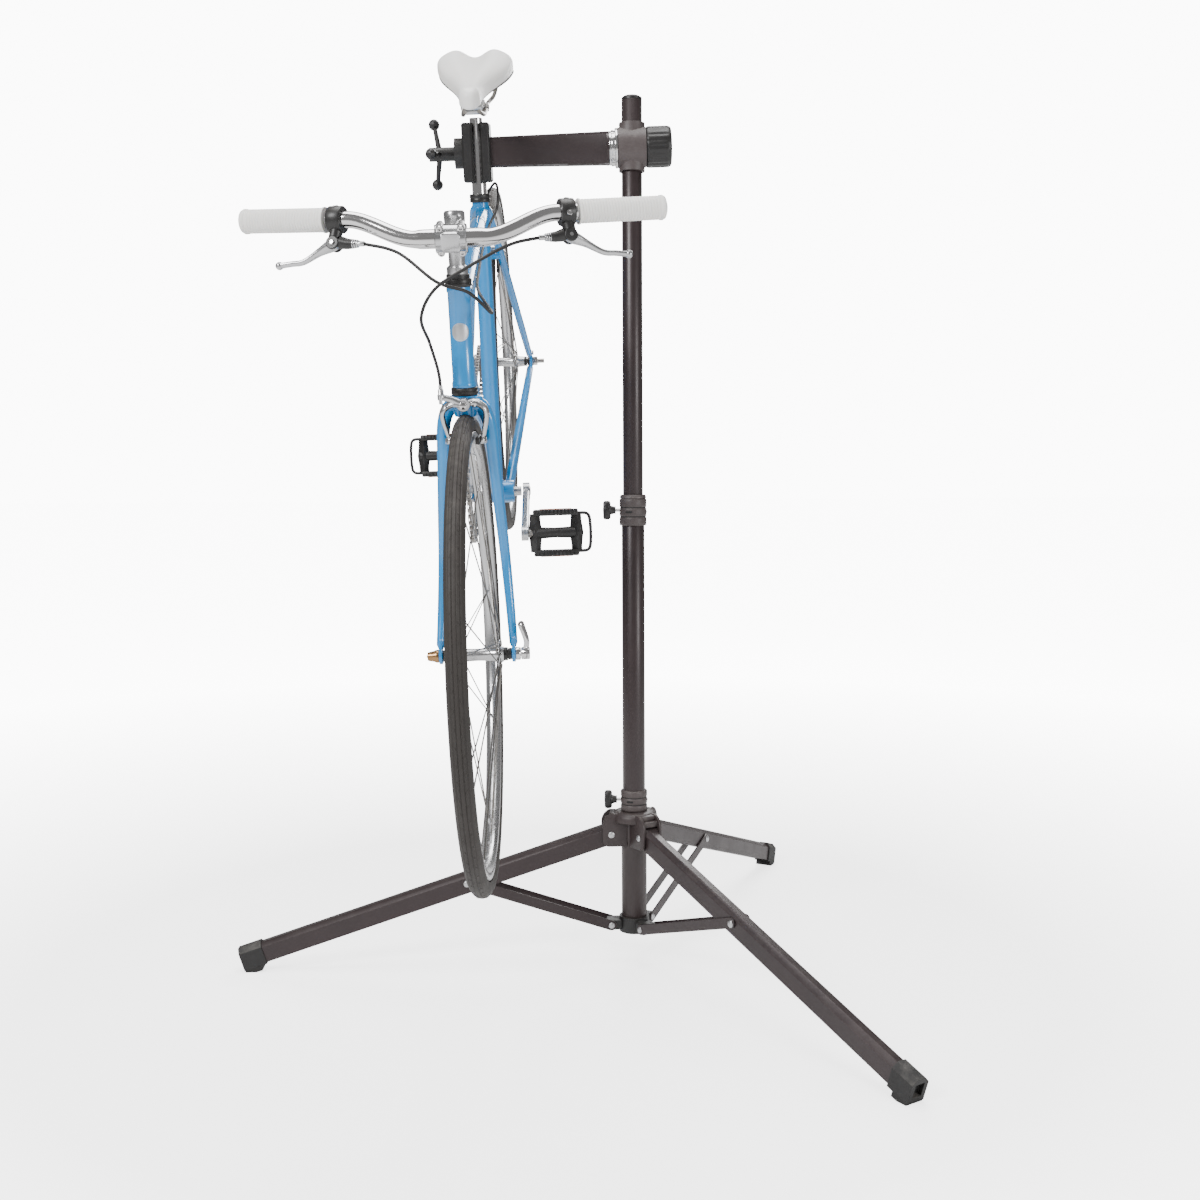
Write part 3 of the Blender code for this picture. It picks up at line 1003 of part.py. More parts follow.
def make_chain():
    """The chain as one closed strap around chainring and cog, along their common tangents."""
    lean = math.degrees(math.asin((RING_TEETH_R - COG_R) / REAR_AXLE.length))
    centre, tangent = math.degrees(math.atan2(REAR_AXLE.z, REAR_AXLE.x)), 90 - lean
    outline = {}
    for key, grow in (("outer", CHAIN_HALF), ("inner", -CHAIN_HALF)):
        outline[key] = (arc((0, 0), RING_TEETH_R + grow, centre + tangent,
                            centre + 360 - tangent, 20)
                        + arc((REAR_AXLE.x, REAR_AXLE.z), COG_R + grow, centre - tangent,
                              centre + tangent, 8))
    turn = Matrix.Translation((0, -CHAINLINE, 0)) @ Matrix.Rotation(math.pi / 2, 4, "X")
    chain = plate("chain", bike, outline["outer"], CHAIN_WIDTH, turn, "steel")
    cut(chain, plate("chain_inside", bike, outline["inner"], CHAIN_WIDTH * 2, turn))


# ---- cables ----
def make_cables(rear_pivot, rear_way, rear_out):
    left, right = lever_pivot(1), lever_pivot(-1)
    front_horn = (front_pivot() + HEAD_FORWARD * 0.0150 - Y * 0.030 + SEAT_WAY * 0.012)
    front_route = [
        left + Vector((-0.002, -0.040, 0.0)) + Y * 0.008,
        left + Vector((0.020, -0.080, -0.002)),
        Vector((BAR_CLAMP.x + 0.060, 0.020, BAR_CLAMP.z - 0.020)),
        Vector((BAR_CLAMP.x + 0.066, -0.022, BAR_CLAMP.z - 0.045)),
        Vector((BAR_CLAMP.x + 0.060, -0.043, BAR_CLAMP.z - 0.085)),
        front_horn + SEAT_WAY * 0.075 + HEAD_FORWARD * 0.012 - Y * 0.010,
        front_horn + SEAT_WAY * 0.035 - Y * 0.002,
        front_horn + SEAT_WAY * 0.0055]
    curved("front_brake_cable", bike, smooth_path(front_route, 4), CABLE_R, "rubber", sides=2)
    side_of_tube = Y * (TOP_TUBE_R + CABLE_R + 0.0012)
    tube_head = HEAD_TOP - SEAT_WAY * TOP_TUBE_HEAD
    tube_seat = SEAT_WAY * TOP_TUBE_SEAT
    tube_way = (tube_seat - tube_head)
    rear_horn = rear_pivot + rear_out * 0.0150 - Y * 0.030 + rear_way * 0.012
    rear_route = [
        right + Vector((-0.002, 0.040, 0.0)) - Y * 0.008,
        right + Vector((0.024, 0.085, -0.006)),
        Vector((BAR_CLAMP.x + 0.050, -0.020, BAR_CLAMP.z - 0.040)),
        Vector((BAR_CLAMP.x + 0.040, 0.020, BAR_CLAMP.z - 0.060)),
        Vector((BAR_CLAMP.x + 0.000, 0.046, BAR_CLAMP.z - 0.105)),
        tube_head + tube_way * 0.16 + side_of_tube * 1.25,
        tube_head + tube_way * 0.35 + side_of_tube,
        tube_head + tube_way * 0.65 + side_of_tube,
        tube_head + tube_way * 0.86 + side_of_tube * 1.15 - Z * 0.004]
    rear_route += [
        tube_seat + Vector((-0.010, 0.030, 0.010)),
        tube_seat + Vector((-0.050, 0.024, 0.034)),
        rear_horn + rear_way * 0.060 + rear_out * 0.012 + Y * 0.018,
        rear_horn + rear_way * 0.028 + Y * 0.002,
        rear_horn + rear_way * 0.0055]
    curved("rear_brake_cable", bike, smooth_path(rear_route, 3), CABLE_R, "rubber", sides=2)


make_mast()
make_mid_collar()
make_brace_ring()
for leg_side in LEG_AZIMUTHS:
    make_leg(leg_side)
    make_brace(leg_side)
make_tripod_hub()
make_head()
make_clamp_arm()
make_jaws()
make_clamp_handle()
bridge = make_frame()
make_seat()
make_fork()
make_headset()
make_stem()
make_bar()
rear_brake = make_brakes(bridge)
make_wheel("front", FRONT_AXLE, FRONT_HALF)
make_wheel("rear", REAR_AXLE, REAR_HALF)
make_axle_fittings()
make_drive()
make_cables(*rear_brake)
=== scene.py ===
"""The looks of a city bicycle held by its seatpost in a folding repair stand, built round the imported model.

Lengths are in metres. The stand stands on z = 0, the bicycle faces -Y, and its own frame has x forward,
y to the rider's left and z up, with the crank axle as its origin.
"""

import json
import math

import bmesh
import bpy
from mathutils import Matrix, Vector


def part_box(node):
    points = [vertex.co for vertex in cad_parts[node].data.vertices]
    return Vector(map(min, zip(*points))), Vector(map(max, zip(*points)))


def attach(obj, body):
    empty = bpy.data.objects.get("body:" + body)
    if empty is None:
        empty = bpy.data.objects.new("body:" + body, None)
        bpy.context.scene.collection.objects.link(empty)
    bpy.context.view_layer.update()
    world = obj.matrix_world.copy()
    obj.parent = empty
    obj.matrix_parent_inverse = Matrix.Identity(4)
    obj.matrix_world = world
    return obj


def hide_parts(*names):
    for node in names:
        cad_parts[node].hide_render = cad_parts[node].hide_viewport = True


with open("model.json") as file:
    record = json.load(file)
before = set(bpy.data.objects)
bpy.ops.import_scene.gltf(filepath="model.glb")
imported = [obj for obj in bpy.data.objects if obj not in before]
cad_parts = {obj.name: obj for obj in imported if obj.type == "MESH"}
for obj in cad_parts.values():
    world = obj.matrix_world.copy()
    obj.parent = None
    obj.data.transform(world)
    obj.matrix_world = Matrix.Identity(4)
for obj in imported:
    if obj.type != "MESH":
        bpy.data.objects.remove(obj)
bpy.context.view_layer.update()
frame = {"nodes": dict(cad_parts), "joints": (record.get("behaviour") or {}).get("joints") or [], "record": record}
scene = bpy.context.scene
X, Z = Vector((1, 0, 0)), Vector((0, 0, 1))

# ---- camera ----
CAMERA_PLACE = (0.0728, -2.4920, 0.9039)
CAMERA_YAW, CAMERA_PITCH, CAMERA_ROLL = -0.0104, -0.0982, 0.0056
LENS, SENSOR = 42.54, 36.0

camera = bpy.data.objects.new("camera", bpy.data.cameras.new("camera"))
camera.data.lens, camera.data.sensor_width = LENS, SENSOR
camera.matrix_world = (Matrix.Translation(CAMERA_PLACE) @ Matrix.Rotation(CAMERA_YAW, 4, "Z")
                       @ Matrix.Rotation(CAMERA_PITCH, 4, "X") @ Matrix.Rotation(CAMERA_ROLL, 4, "Y")
                       @ Matrix.Rotation(math.pi / 2, 4, "X"))
scene.collection.objects.link(camera)
scene.camera = camera


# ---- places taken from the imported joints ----
joints = {joint["name"]: joint for joint in frame["joints"]}


def pin(name):
    return Vector(joints[name]["pos_m"])


def way(name):
    return Vector(joints[name]["axis"]).normalized()


def axes_at(origin, x, y, z):
    turned = Matrix((x, y, z)).transposed().to_4x4()
    return Matrix.Translation(origin) @ turned


def facing(origin, z, x=X):
    """A frame at origin with its z along z, and its x as near as can be to x."""
    z = Vector(z).normalized()
    y = z.cross(x).normalized()
    return axes_at(origin, y.cross(z), y, z)


LEFT = way("front_wheel_spin")
FRONT_AXLE, REAR_AXLE, CRANK_AXLE = pin("front_wheel_spin"), pin("rear_wheel_spin"), pin("crank_spin")
FORWARD = (FRONT_AXLE - REAR_AXLE).normalized()
UP = FORWARD.cross(LEFT).normalized()
BIKE = axes_at(CRANK_AXLE, FORWARD, LEFT, UP)
STEER = way("steering")
AHEAD = LEFT.cross(STEER).normalized()  # square to the steering axis, facing forward
ARM = way("arm_tilt")
ARM_PIN = pin("arm_tilt")
MAST = Vector((ARM_PIN.x, ARM_PIN.y, 0))


def on_bike(x, y, z):
    return BIKE @ Vector((x, y, z))


# ---- node groups that several finishes share ----
def new_group(name, inputs, outputs):
    """A shader node group; inputs are (label, value) and outputs are labels, all of them plain numbers."""
    tree = bpy.data.node_groups.new(name, "ShaderNodeTree")
    for label, value in inputs:
        socket = tree.interface.new_socket(label, in_out="INPUT", socket_type="NodeSocketFloat")
        socket.default_value = value
    for label in outputs:
        tree.interface.new_socket(label, in_out="OUTPUT", socket_type="NodeSocketFloat")
    return tree, tree.nodes.new("NodeGroupInput"), tree.nodes.new("NodeGroupOutput")


def maths(tree, operation, *values, clamp=False):
    node = tree.nodes.new("ShaderNodeMath")
    node.operation, node.use_clamp = operation, clamp
    for socket, value in zip(node.inputs, values):
        if isinstance(value, (int, float)):
            socket.default_value = value
        else:
            tree.links.new(value, socket)
    return node.outputs[0]


def noise_of(tree, scale, detail=3.0, roughness=0.55, vector=None):
    node = tree.nodes.new("ShaderNodeTexNoise")
    node.inputs["Detail"].default_value, node.inputs["Roughness"].default_value = detail, roughness
    if isinstance(scale, (int, float)):
        node.inputs["Scale"].default_value = scale
    else:
        tree.links.new(scale, node.inputs["Scale"])
    tree.links.new(vector or tree.nodes.new("ShaderNodeTexCoord").outputs["Object"], node.inputs["Vector"])
    return node.outputs["Fac"]


def spread(tree, value, low, high):
    """value taken from low..high to 0..1, and held there."""
    node = tree.nodes.new("ShaderNodeMapRange")
    node.interpolation_type = "SMOOTHSTEP"
    tree.links.new(value, node.inputs["Value"])
    for label, bound in (("From Min", low), ("From Max", high)):
        if isinstance(bound, (int, float)):
            node.inputs[label].default_value = bound
        else:
            tree.links.new(bound, node.inputs[label])
    return node.outputs["Result"]


def make_uneven_tone():
    """Slow, cloudy changes in tone and in gloss."""
    tree, given, out = new_group("uneven_tone", [("Scale", 9.0), ("Amount", 0.5)], ["Tone", "Gloss"])
    for label, factor, shift in (("Tone", 1.0, 0.0), ("Gloss", 2.7, 0.1)):
        clouds = noise_of(tree, maths(tree, "MULTIPLY", given.outputs["Scale"], factor), 5.0)
        even = maths(tree, "SUBTRACT", spread(tree, clouds, 0.3, 0.7), 0.5 + shift)
        tree.links.new(maths(tree, "MULTIPLY_ADD", even, given.outputs["Amount"], 0.5, clamp=True),
                       out.inputs[label])
    return tree


def make_fine_grain():
    """The close grain of moulded plastic, rubber or blasted metal."""
    tree, given, out = new_group("fine_grain", [("Scale", 900.0), ("Pits", 0.4)], ["Height", "Speck"])
    grain = noise_of(tree, given.outputs["Scale"], 2.0)
    cells = tree.nodes.new("ShaderNodeTexVoronoi")
    tree.links.new(tree.nodes.new("ShaderNodeTexCoord").outputs["Object"], cells.inputs["Vector"])
    tree.links.new(maths(tree, "MULTIPLY", given.outputs["Scale"], 0.6), cells.inputs["Scale"])
    pits = maths(tree, "MULTIPLY", cells.outputs["Distance"], given.outputs["Pits"])
    tree.links.new(maths(tree, "ADD", grain, pits), out.inputs["Height"])
    tree.links.new(spread(tree, grain, 0.58, 0.72), out.inputs["Speck"])
    return tree


def make_edge_wear():
    """1 where an edge stands out and has rubbed through, broken up by noise."""
    tree, given, out = new_group("edge_wear", [("Reach", 0.05), ("Amount", 0.5)], ["Mask"])
    edge = tree.nodes.new("ShaderNodeNewGeometry").outputs["Pointiness"]
    start = maths(tree, "SUBTRACT", 0.58, given.outputs["Reach"])
    worn = spread(tree, edge, start, maths(tree, "ADD", start, 0.09))
    patches = spread(tree, noise_of(tree, 60.0, 6.0, 0.7), 0.42, 0.62)
    tree.links.new(maths(tree, "MULTIPLY", maths(tree, "MULTIPLY", worn, patches), given.outputs["Amount"],
                         clamp=True), out.inputs["Mask"])
    return tree


def make_settled_dust():
    """1 where dust has settled: on faces that look up, in drifts."""
    tree, given, out = new_group("settled_dust", [("Amount", 0.3), ("Scale", 40.0)], ["Mask"])
    split = tree.nodes.new("ShaderNodeSeparateXYZ")
    tree.links.new(tree.nodes.new("ShaderNodeNewGeometry").outputs["Normal"], split.inputs[0])
    up = spread(tree, split.outputs["Z"], 0.1, 1.0)
    drifts = spread(tree, noise_of(tree, given.outputs["Scale"], 6.0, 0.65), 0.35, 0.75)
    tree.links.new(maths(tree, "MULTIPLY", maths(tree, "MULTIPLY", up, drifts), given.outputs["Amount"]),
                   out.inputs["Mask"])
    return tree


def make_fine_scratches():
    """Hairlines in three directions, as handling leaves them on metal."""
    tree, given, out = new_group("fine_scratches", [("Scale", 30.0), ("Amount", 0.5)], ["Mask"])
    coordinates = tree.nodes.new("ShaderNodeTexCoord").outputs["Object"]
    found = None
    for turn, stretch in ((0.4, (1, 18, 6)), (1.9, (16, 1, 9)), (2.6, (7, 20, 1))):
        place = tree.nodes.new("ShaderNodeMapping")
        place.inputs["Rotation"].default_value = (turn, turn * 1.7, turn * 0.6)
        place.inputs["Scale"].default_value = stretch
        tree.links.new(coordinates, place.inputs["Vector"])
        line = noise_of(tree, given.outputs["Scale"], 1.0, vector=place.outputs["Vector"])
        thin = spread(tree, maths(tree, "ABSOLUTE", maths(tree, "SUBTRACT", line, 0.5)), 0.012, 0.0)
        found = thin if found is None else maths(tree, "MAXIMUM", found, thin)
    tree.links.new(maths(tree, "MULTIPLY", found, given.outputs["Amount"]), out.inputs["Mask"])
    return tree


GROUPS = {"tone": make_uneven_tone(), "grain": make_fine_grain(), "wear": make_edge_wear(),
          "dust": make_settled_dust(), "scratches": make_fine_scratches()}


def finish(name, colour, *, other=None, metallic=0.0, roughness=0.4, gloss_spread=0.12, tone=(9.0, 0.6),
           grain=(900.0, 0.4, 0.05), wear=None, worn_colour=(0.6, 0.6, 0.62), dust=0.25, scratches=None,
           coat=0.0, coat_roughness=0.05, sheen=0.0, subsurface=0.0, lines=None):
    """A finish from the shared groups. grain is scale, pits and bump strength; wear is reach and amount;
    scratches is scale and amount; lines is a wave's scale, axis and bump strength, as for turned metal."""
    made = bpy.data.materials.new(name)
    made.use_nodes = True
    tree = made.node_tree
    shader = tree.nodes["Principled BSDF"]
    for label, value in (("Metallic", metallic), ("Coat Weight", coat), ("Coat Roughness", coat_roughness),
                         ("Sheen Weight", sheen), ("Subsurface Weight", subsurface)):
        shader.inputs[label].default_value = value
    if subsurface:
        shader.inputs["Subsurface Radius"].default_value = (0.006, 0.005, 0.004)
        shader.inputs["Subsurface Scale"].default_value = 0.4

    def group(key, **values):
        node = tree.nodes.new("ShaderNodeGroup")
        node.node_tree = GROUPS[key]
        for label, value in values.items():
            node.inputs[label].default_value = value
        return node.outputs

    def blend_colours(factor, one, two):
        node = tree.nodes.new("ShaderNodeMix")
        node.data_type = "RGBA"
        tree.links.new(factor, node.inputs["Factor"])
        for socket, value in ((node.inputs["A"], one), (node.inputs["B"], two)):
            if isinstance(value, tuple):
                socket.default_value = (*value, 1)
            else:
                tree.links.new(value, socket)
        return node.outputs["Result"]

    clouds = group("tone", Scale=tone[0], Amount=tone[1])
    other = other or tuple(c * 0.72 for c in colour)
    base = blend_colours(clouds["Tone"], other, colour)
    rough = maths(tree, "MULTIPLY_ADD", clouds["Gloss"], gloss_spread, roughness - gloss_spread / 2)
    fine = group("grain", Scale=grain[0], Pits=grain[1])
    height = fine["Height"]
    base = blend_colours(maths(tree, "MULTIPLY", fine["Speck"], 0.12), base, tuple(min(1, c * 1.5) for c in colour))
    if scratches:
        marks = group("scratches", Scale=scratches[0], Amount=scratches[1])["Mask"]
        rough = maths(tree, "ADD", rough, maths(tree, "MULTIPLY", marks, 0.25))
        height = maths(tree, "SUBTRACT", height, marks)
    if wear:
        worn = group("wear", Reach=wear[0], Amount=wear[1])["Mask"]
        base = blend_colours(worn, base, worn_colour)
        if metallic < 1:
            tree.links.new(maths(tree, "MULTIPLY_ADD", worn, 0.9 - metallic, metallic),
                           shader.inputs["Metallic"])
    if dust:
        dusty = group("dust", Amount=dust, Scale=40.0)["Mask"]
        base = blend_colours(dusty, base, (0.45, 0.42, 0.38))
        rough = maths(tree, "ADD", rough, maths(tree, "MULTIPLY", dusty, 0.5))
    if lines:
        wave = tree.nodes.new("ShaderNodeTexWave")
        wave.bands_direction = lines[1]
        wave.inputs["Scale"].default_value = lines[0]
        wave.inputs["Distortion"].default_value = 2.0
        tree.links.new(tree.nodes.new("ShaderNodeTexCoord").outputs["Object"], wave.inputs["Vector"])
        height = maths(tree, "ADD", height, maths(tree, "MULTIPLY", wave.outputs["Fac"], lines[2]))
    tree.links.new(base, shader.inputs["Base Color"])
    tree.links.new(maths(tree, "ADD", rough, 0.0, clamp=True), shader.inputs["Roughness"])
    bump = tree.nodes.new("ShaderNodeBump")
    bump.inputs["Strength"].default_value = grain[2]
    bump.inputs["Distance"].default_value = 0.0006
    tree.links.new(height, bump.inputs["Height"])
    tree.links.new(bump.outputs["Normal"], shader.inputs["Normal"])
    return made


FINISHES = {
    "anodised": finish("brown_black_anodised", (0.034, 0.022, 0.023), other=(0.024, 0.016, 0.017), metallic=0.25,
                       roughness=0.40, wear=(0.03, 0.4), scratches=(26.0, 0.2), dust=0.04, coat=0.10,
                       coat_roughness=0.25),
    "collar_plastic": finish("grey_brown_collar_plastic", (0.072, 0.057, 0.056), roughness=0.5, wear=(0.05, 0.25),
                             worn_colour=(0.3, 0.27, 0.26), grain=(1100.0, 0.6, 0.16), dust=0.15),
    "hub_plastic": finish("dark_brown_hub_plastic", (0.040, 0.028, 0.028), other=(0.030, 0.021, 0.021), roughness=0.45,
                          wear=(0.05, 0.25), worn_colour=(0.22, 0.19, 0.18), grain=(1100.0, 0.6, 0.14), dust=0.12),
    "black_plastic": finish("black_moulded_plastic", (0.014, 0.013, 0.013), roughness=0.42, wear=(0.05, 0.2),
                            worn_colour=(0.12, 0.12, 0.12), grain=(1000.0, 0.7, 0.15), dust=0.12),
    "rubber": finish("black_rubber", (0.013, 0.012, 0.012), roughness=0.62, wear=(0.04, 0.25),
                     worn_colour=(0.10, 0.10, 0.10), grain=(800.0, 0.6, 0.2), dust=0.2),
    "tyre_rubber": finish("tyre_rubber", (0.020, 0.016, 0.014), other=(0.027, 0.022, 0.019), roughness=0.66,
                          wear=(0.04, 0.3), worn_colour=(0.10, 0.09, 0.085), grain=(700.0, 0.8, 0.3), dust=0.12),
    "blue_paint": finish("sky_blue_paint", (0.004, 0.245, 0.600), other=(0.003, 0.215, 0.550), metallic=0.05,
                         roughness=0.30, gloss_spread=0.08, wear=(0.02, 0.2), grain=(1500.0, 0.1, 0.02),
                         dust=0.03, coat=0.8, coat_roughness=0.06),
    "white_rubber": finish("off_white_grip_rubber", (0.96, 0.95, 0.92), other=(0.90, 0.88, 0.84),
                           roughness=0.58, grain=(900.0, 0.5, 0.2), dust=0.03, subsurface=0.12),
    "white_vinyl": finish("off_white_saddle_vinyl", (0.97, 0.96, 0.935), other=(0.92, 0.90, 0.86),
                          roughness=0.42, grain=(420.0, 1.0, 0.22), dust=0.02, coat=0.15, coat_roughness=0.35,
                          subsurface=0.10),
    "chrome": finish("bright_chrome", (0.70, 0.69, 0.69), other=(0.60, 0.59, 0.59), metallic=1.0, roughness=0.10,
                     gloss_spread=0.08, scratches=(30.0, 0.3), grain=(900.0, 0.1, 0.015), dust=0.10),
    "alloy": finish("polished_alloy", (0.60, 0.60, 0.61), other=(0.50, 0.50, 0.505), metallic=1.0,
                    roughness=0.24, scratches=(26.0, 0.4), grain=(900.0, 0.3, 0.04), dust=0.12),
    "satin_alloy": finish("satin_alloy", (0.62, 0.62, 0.63), other=(0.50, 0.50, 0.51), metallic=1.0,
                          roughness=0.38, scratches=(26.0, 0.4), grain=(1100.0, 0.5, 0.10), dust=0.15),
    "steel": finish("oiled_steel", (0.42, 0.40, 0.38), other=(0.22, 0.20, 0.18), metallic=0.95, roughness=0.34,
                    tone=(60.0, 0.9), scratches=(26.0, 0.4), grain=(900.0, 0.4, 0.08), dust=0.2),
    "spoke_steel": finish("spoke_steel", (0.20, 0.19, 0.18), other=(0.14, 0.13, 0.12), metallic=0.9, roughness=0.32, dust=0.05),
    "bronze": finish("bronze_nut", (0.46, 0.27, 0.12), other=(0.30, 0.17, 0.08), metallic=1.0, roughness=0.3,
                     grain=(900.0, 0.4, 0.06), dust=0.1),
    "amber": finish("amber_reflector", (0.75, 0.20, 0.03), other=(0.55, 0.12, 0.02), roughness=0.12,
                    tone=(300.0, 0.8), grain=(500.0, 1.0, 0.5), coat=0.8, dust=0.05),
    "jaw_rubber": finish("grey_jaw_rubber", (0.06, 0.058, 0.056), roughness=0.66, grain=(700.0, 0.9, 0.3), dust=0.1),
    # painted shade: a near-black finish put in slots, gaps and holes to stand for the shade inside them
    "painted_shade_slot": finish("painted_shade_recess", (0.008, 0.008, 0.008), roughness=0.7, dust=0.0),
    "pearl": finish("plain_badge_disc", (0.55, 0.60, 0.66), other=(0.48, 0.53, 0.60), metallic=0.6,
                    roughness=0.28, grain=(1200.0, 0.2, 0.03), dust=0.05, coat=0.5),
}


# ---- floor and lights ----
SEEN, CAST = 11.0, 0.30  # how bright the surround looks, and how much light it gives


def camera_only(tree, strength):
    """A strength that only the camera sees, so that the floor and surround look bright and light little."""
    seen_directly = tree.nodes.new("ShaderNodeLightPath").outputs["Is Camera Ray"]
    return maths(tree, "MULTIPLY", seen_directly, strength)


def make_floor():
    """Pale paper that brightens into the surround away from the stand."""
    sheet = bmesh.new()
    bmesh.ops.create_grid(sheet, x_segments=1, y_segments=1, size=30.0)
    mesh = bpy.data.meshes.new("floor")
    sheet.to_mesh(mesh)
    sheet.free()
    floor = bpy.data.objects.new("floor", mesh)
    paper = bpy.data.materials.new("pale_floor")
    paper.use_nodes = True
    tree = paper.node_tree
    shader = tree.nodes["Principled BSDF"]
    shader.inputs["Base Color"].default_value = (0.92, 0.92, 0.92, 1)
    shader.inputs["Roughness"].default_value = 0.9
    shader.inputs["Specular IOR Level"].default_value = 0.2
    shader.inputs["Emission Color"].default_value = (1, 1, 1, 1)
    place = tree.nodes.new("ShaderNodeTexCoord").outputs["Object"]
    away = tree.nodes.new("ShaderNodeVectorMath")
    away.operation = "LENGTH"
    tree.links.new(place, away.inputs[0])
    far = maths(tree, "MULTIPLY_ADD", away.outputs["Value"], 0.40, -0.36, clamp=True)
    glow = maths(tree, "MULTIPLY_ADD", far, SEEN - 3.2, 2.6)
    tree.links.new(camera_only(tree, glow), shader.inputs["Emission Strength"])
    mesh.materials.append(paper)
    scene.collection.objects.link(floor)


def make_light(name, place, target, size, power):
    light = bpy.data.lights.new(name, "AREA")
    light.shape, light.size, light.energy = "DISK", size, power
    holder = bpy.data.objects.new(name, light)
    holder.location = place
    holder.rotation_mode = "QUATERNION"
    holder.rotation_quaternion = (Vector(target) - Vector(place)).to_track_quat("-Z", "Y")
    scene.collection.objects.link(holder)


def make_surround():
    """A white surround: bright where the camera looks at it, much softer as a light."""
    world = bpy.data.worlds.new("studio")
    world.use_nodes = True
    tree = world.node_tree
    surround = tree.nodes["Background"]
    surround.inputs["Color"].default_value = (1, 1, 1, 1)
    strength = maths(tree, "ADD", camera_only(tree, SEEN - CAST), CAST)
    tree.links.new(strength, surround.inputs["Strength"])
    scene.world = world


make_floor()
middle = (0.0, 0.0, 0.85)
make_light("key", (-2.8, -3.4, 3.4), middle, 1.6, 225)
make_light("fill", (3.4, -2.8, 1.4), middle, 1.2, 75)
make_light("back", (0.8, 3.6, 3.0), middle, 2.0, 95)
make_light("overhead", (0.0, 0.0, 4.8), middle, 3.0, 170)
make_surround()


# ---- mesh tools: each adds to a Form, which becomes one piece ----
class Form:
    """A mesh being built in the row frame; every shape added takes the finish that is set at the time."""

    def __init__(self):
        self.mesh = bmesh.new()
        self.finishes = []
        self.slot = 0

    def use(self, finish_name):
        if finish_name not in self.finishes:
            self.finishes.append(finish_name)
        self.slot = self.finishes.index(finish_name)
        return self

    def _skin(self, rings, closed_ends=True, wrap=False):
        pairs = list(zip(rings, rings[1:])) + ([(rings[-1], rings[0])] if wrap else [])
        count = len(rings[0])
        for one, two in pairs:
            for i in range(count):
                corners = (one[i], one[(i + 1) % count], two[(i + 1) % count], two[i])
                self._face(corners)
        if closed_ends and not wrap:
            self._face(rings[0][::-1])
            self._face(rings[-1])

    def _face(self, corners):
        face = self.mesh.faces.new(corners)
        face.material_index, face.smooth = self.slot, True
        return face

    def ring(self, at, points):
        return [self.mesh.verts.new(at @ Vector(p)) for p in points]

    def tube(self, path, radius, sides=24, closed_ends=True, section=None):
        """A round or sectioned bar along path; radius is one number or one for each point."""
        path = [Vector(p) for p in path]
        radii = radius if isinstance(radius, (list, tuple)) else [radius] * len(path)
        section = section or [(math.cos(math.tau * i / sides), math.sin(math.tau * i / sides), 0)
                              for i in range(sides)]
        along = (path[1] - path[0]).normalized()
        across = along.orthogonal().normalized()
        rings = []
        for i, point in enumerate(path):
            step = (path[min(i + 1, len(path) - 1)] - path[max(i - 1, 0)]).normalized()
            across = (across - step * across.dot(step)).normalized()
            at = axes_at(point, across, step.cross(across), step)
            rings.append(self.ring(at, [(x * radii[i], y * radii[i], 0) for x, y, _ in section]))
        self._skin(rings, closed_ends)
        return self

    def lathe(self, at, profile, steps=48, closed_ring=False):
        """profile is (radius, height) about at's z axis; a closed ring has its ends joined."""
        columns = []
        for k in range(steps):
            c, s = math.cos(math.tau * k / steps), math.sin(math.tau * k / steps)
            columns.append(self.ring(at, [(r * c, r * s, h) for r, h in profile]))
        last = len(profile) - (0 if closed_ring else 1)
        for k in range(steps):
            one, two = columns[k], columns[(k + 1) % steps]
            for i in range(last):
                j = (i + 1) % len(profile)
                self._face((one[i], two[i], two[j], one[j]))
        if not closed_ring:
            self._face([column[0] for column in columns][::-1])
            self._face([column[-1] for column in columns])
        return self

    def slab(self, at, outline, low, high, edge=0.0):
        """outline, as (x, y) points in at's plane, from height low to high, with edges rounded off by edge."""
        if not edge:
            self._skin([self.ring(at, [(x, y, h) for x, y in outline]) for h in (low, high)])
            return self
        inner = shrink(outline, edge)
        mid = shrink(outline, edge * 0.3)
        rings = [(inner, low), (mid, low + edge * 0.3), (outline, low + edge), (outline, high - edge),
                 (mid, high - edge * 0.3), (inner, high)]
        self._skin([self.ring(at, [(x, y, h) for x, y in points]) for points, h in rings])
        return self

    def brick(self, at, size, edge=0.001, corner=None, steps=4):
        """A block centred on at, with rounded edges and corners."""
        outline = rounded(size[0], size[1], corner or edge, steps)
        return self.slab(at, outline, -size[2] / 2, size[2] / 2, edge)

    def ball(self, centre, radius, stretch=(1, 1, 1), turn=None, steps=20):
        at = Matrix.Translation(centre) @ (turn or Matrix.Identity(4)) @ Matrix.Diagonal((*stretch, 1))
        rows = steps // 2
        return self.lathe(at, [(max(radius * math.sin(math.pi * i / rows), radius * 0.001),
                                -radius * math.cos(math.pi * i / rows)) for i in range(rows + 1)], steps)

    def hexagon(self, at, across, height, edge=0.0006):
        """A hexagon nut or bolt head standing on at."""
        outline = [(across / math.sqrt(3) * math.cos(math.pi / 3 * i),
                    across / math.sqrt(3) * math.sin(math.pi / 3 * i)) for i in range(6)]
        return self.slab(at, outline, 0, height, edge)

    def screw(self, at, radius, height):
        """A round head with a hexagon socket sunk in it."""
        r, socket = radius, radius * 0.5
        self.lathe(at, [(r, 0), (r, height * 0.75), (r * 0.86, height), (socket * 1.02, height),
                        (socket, height * 0.9), (socket * 0.95, height * 0.35), (socket * 0.2, height * 0.3)], 24)
        return self


def rounded(width, depth, corner, steps=4):
    """The outline of a rectangle with round corners."""
    points = []
    for cx, cy, start in ((1, 1, 0), (-1, 1, 90), (-1, -1, 180), (1, -1, 270)):
        for i in range(steps + 1):
            a = math.radians(start + 90 * i / steps)
            points.append((cx * (width / 2 - corner) + corner * math.cos(a),
                           cy * (depth / 2 - corner) + corner * math.sin(a)))
    return points


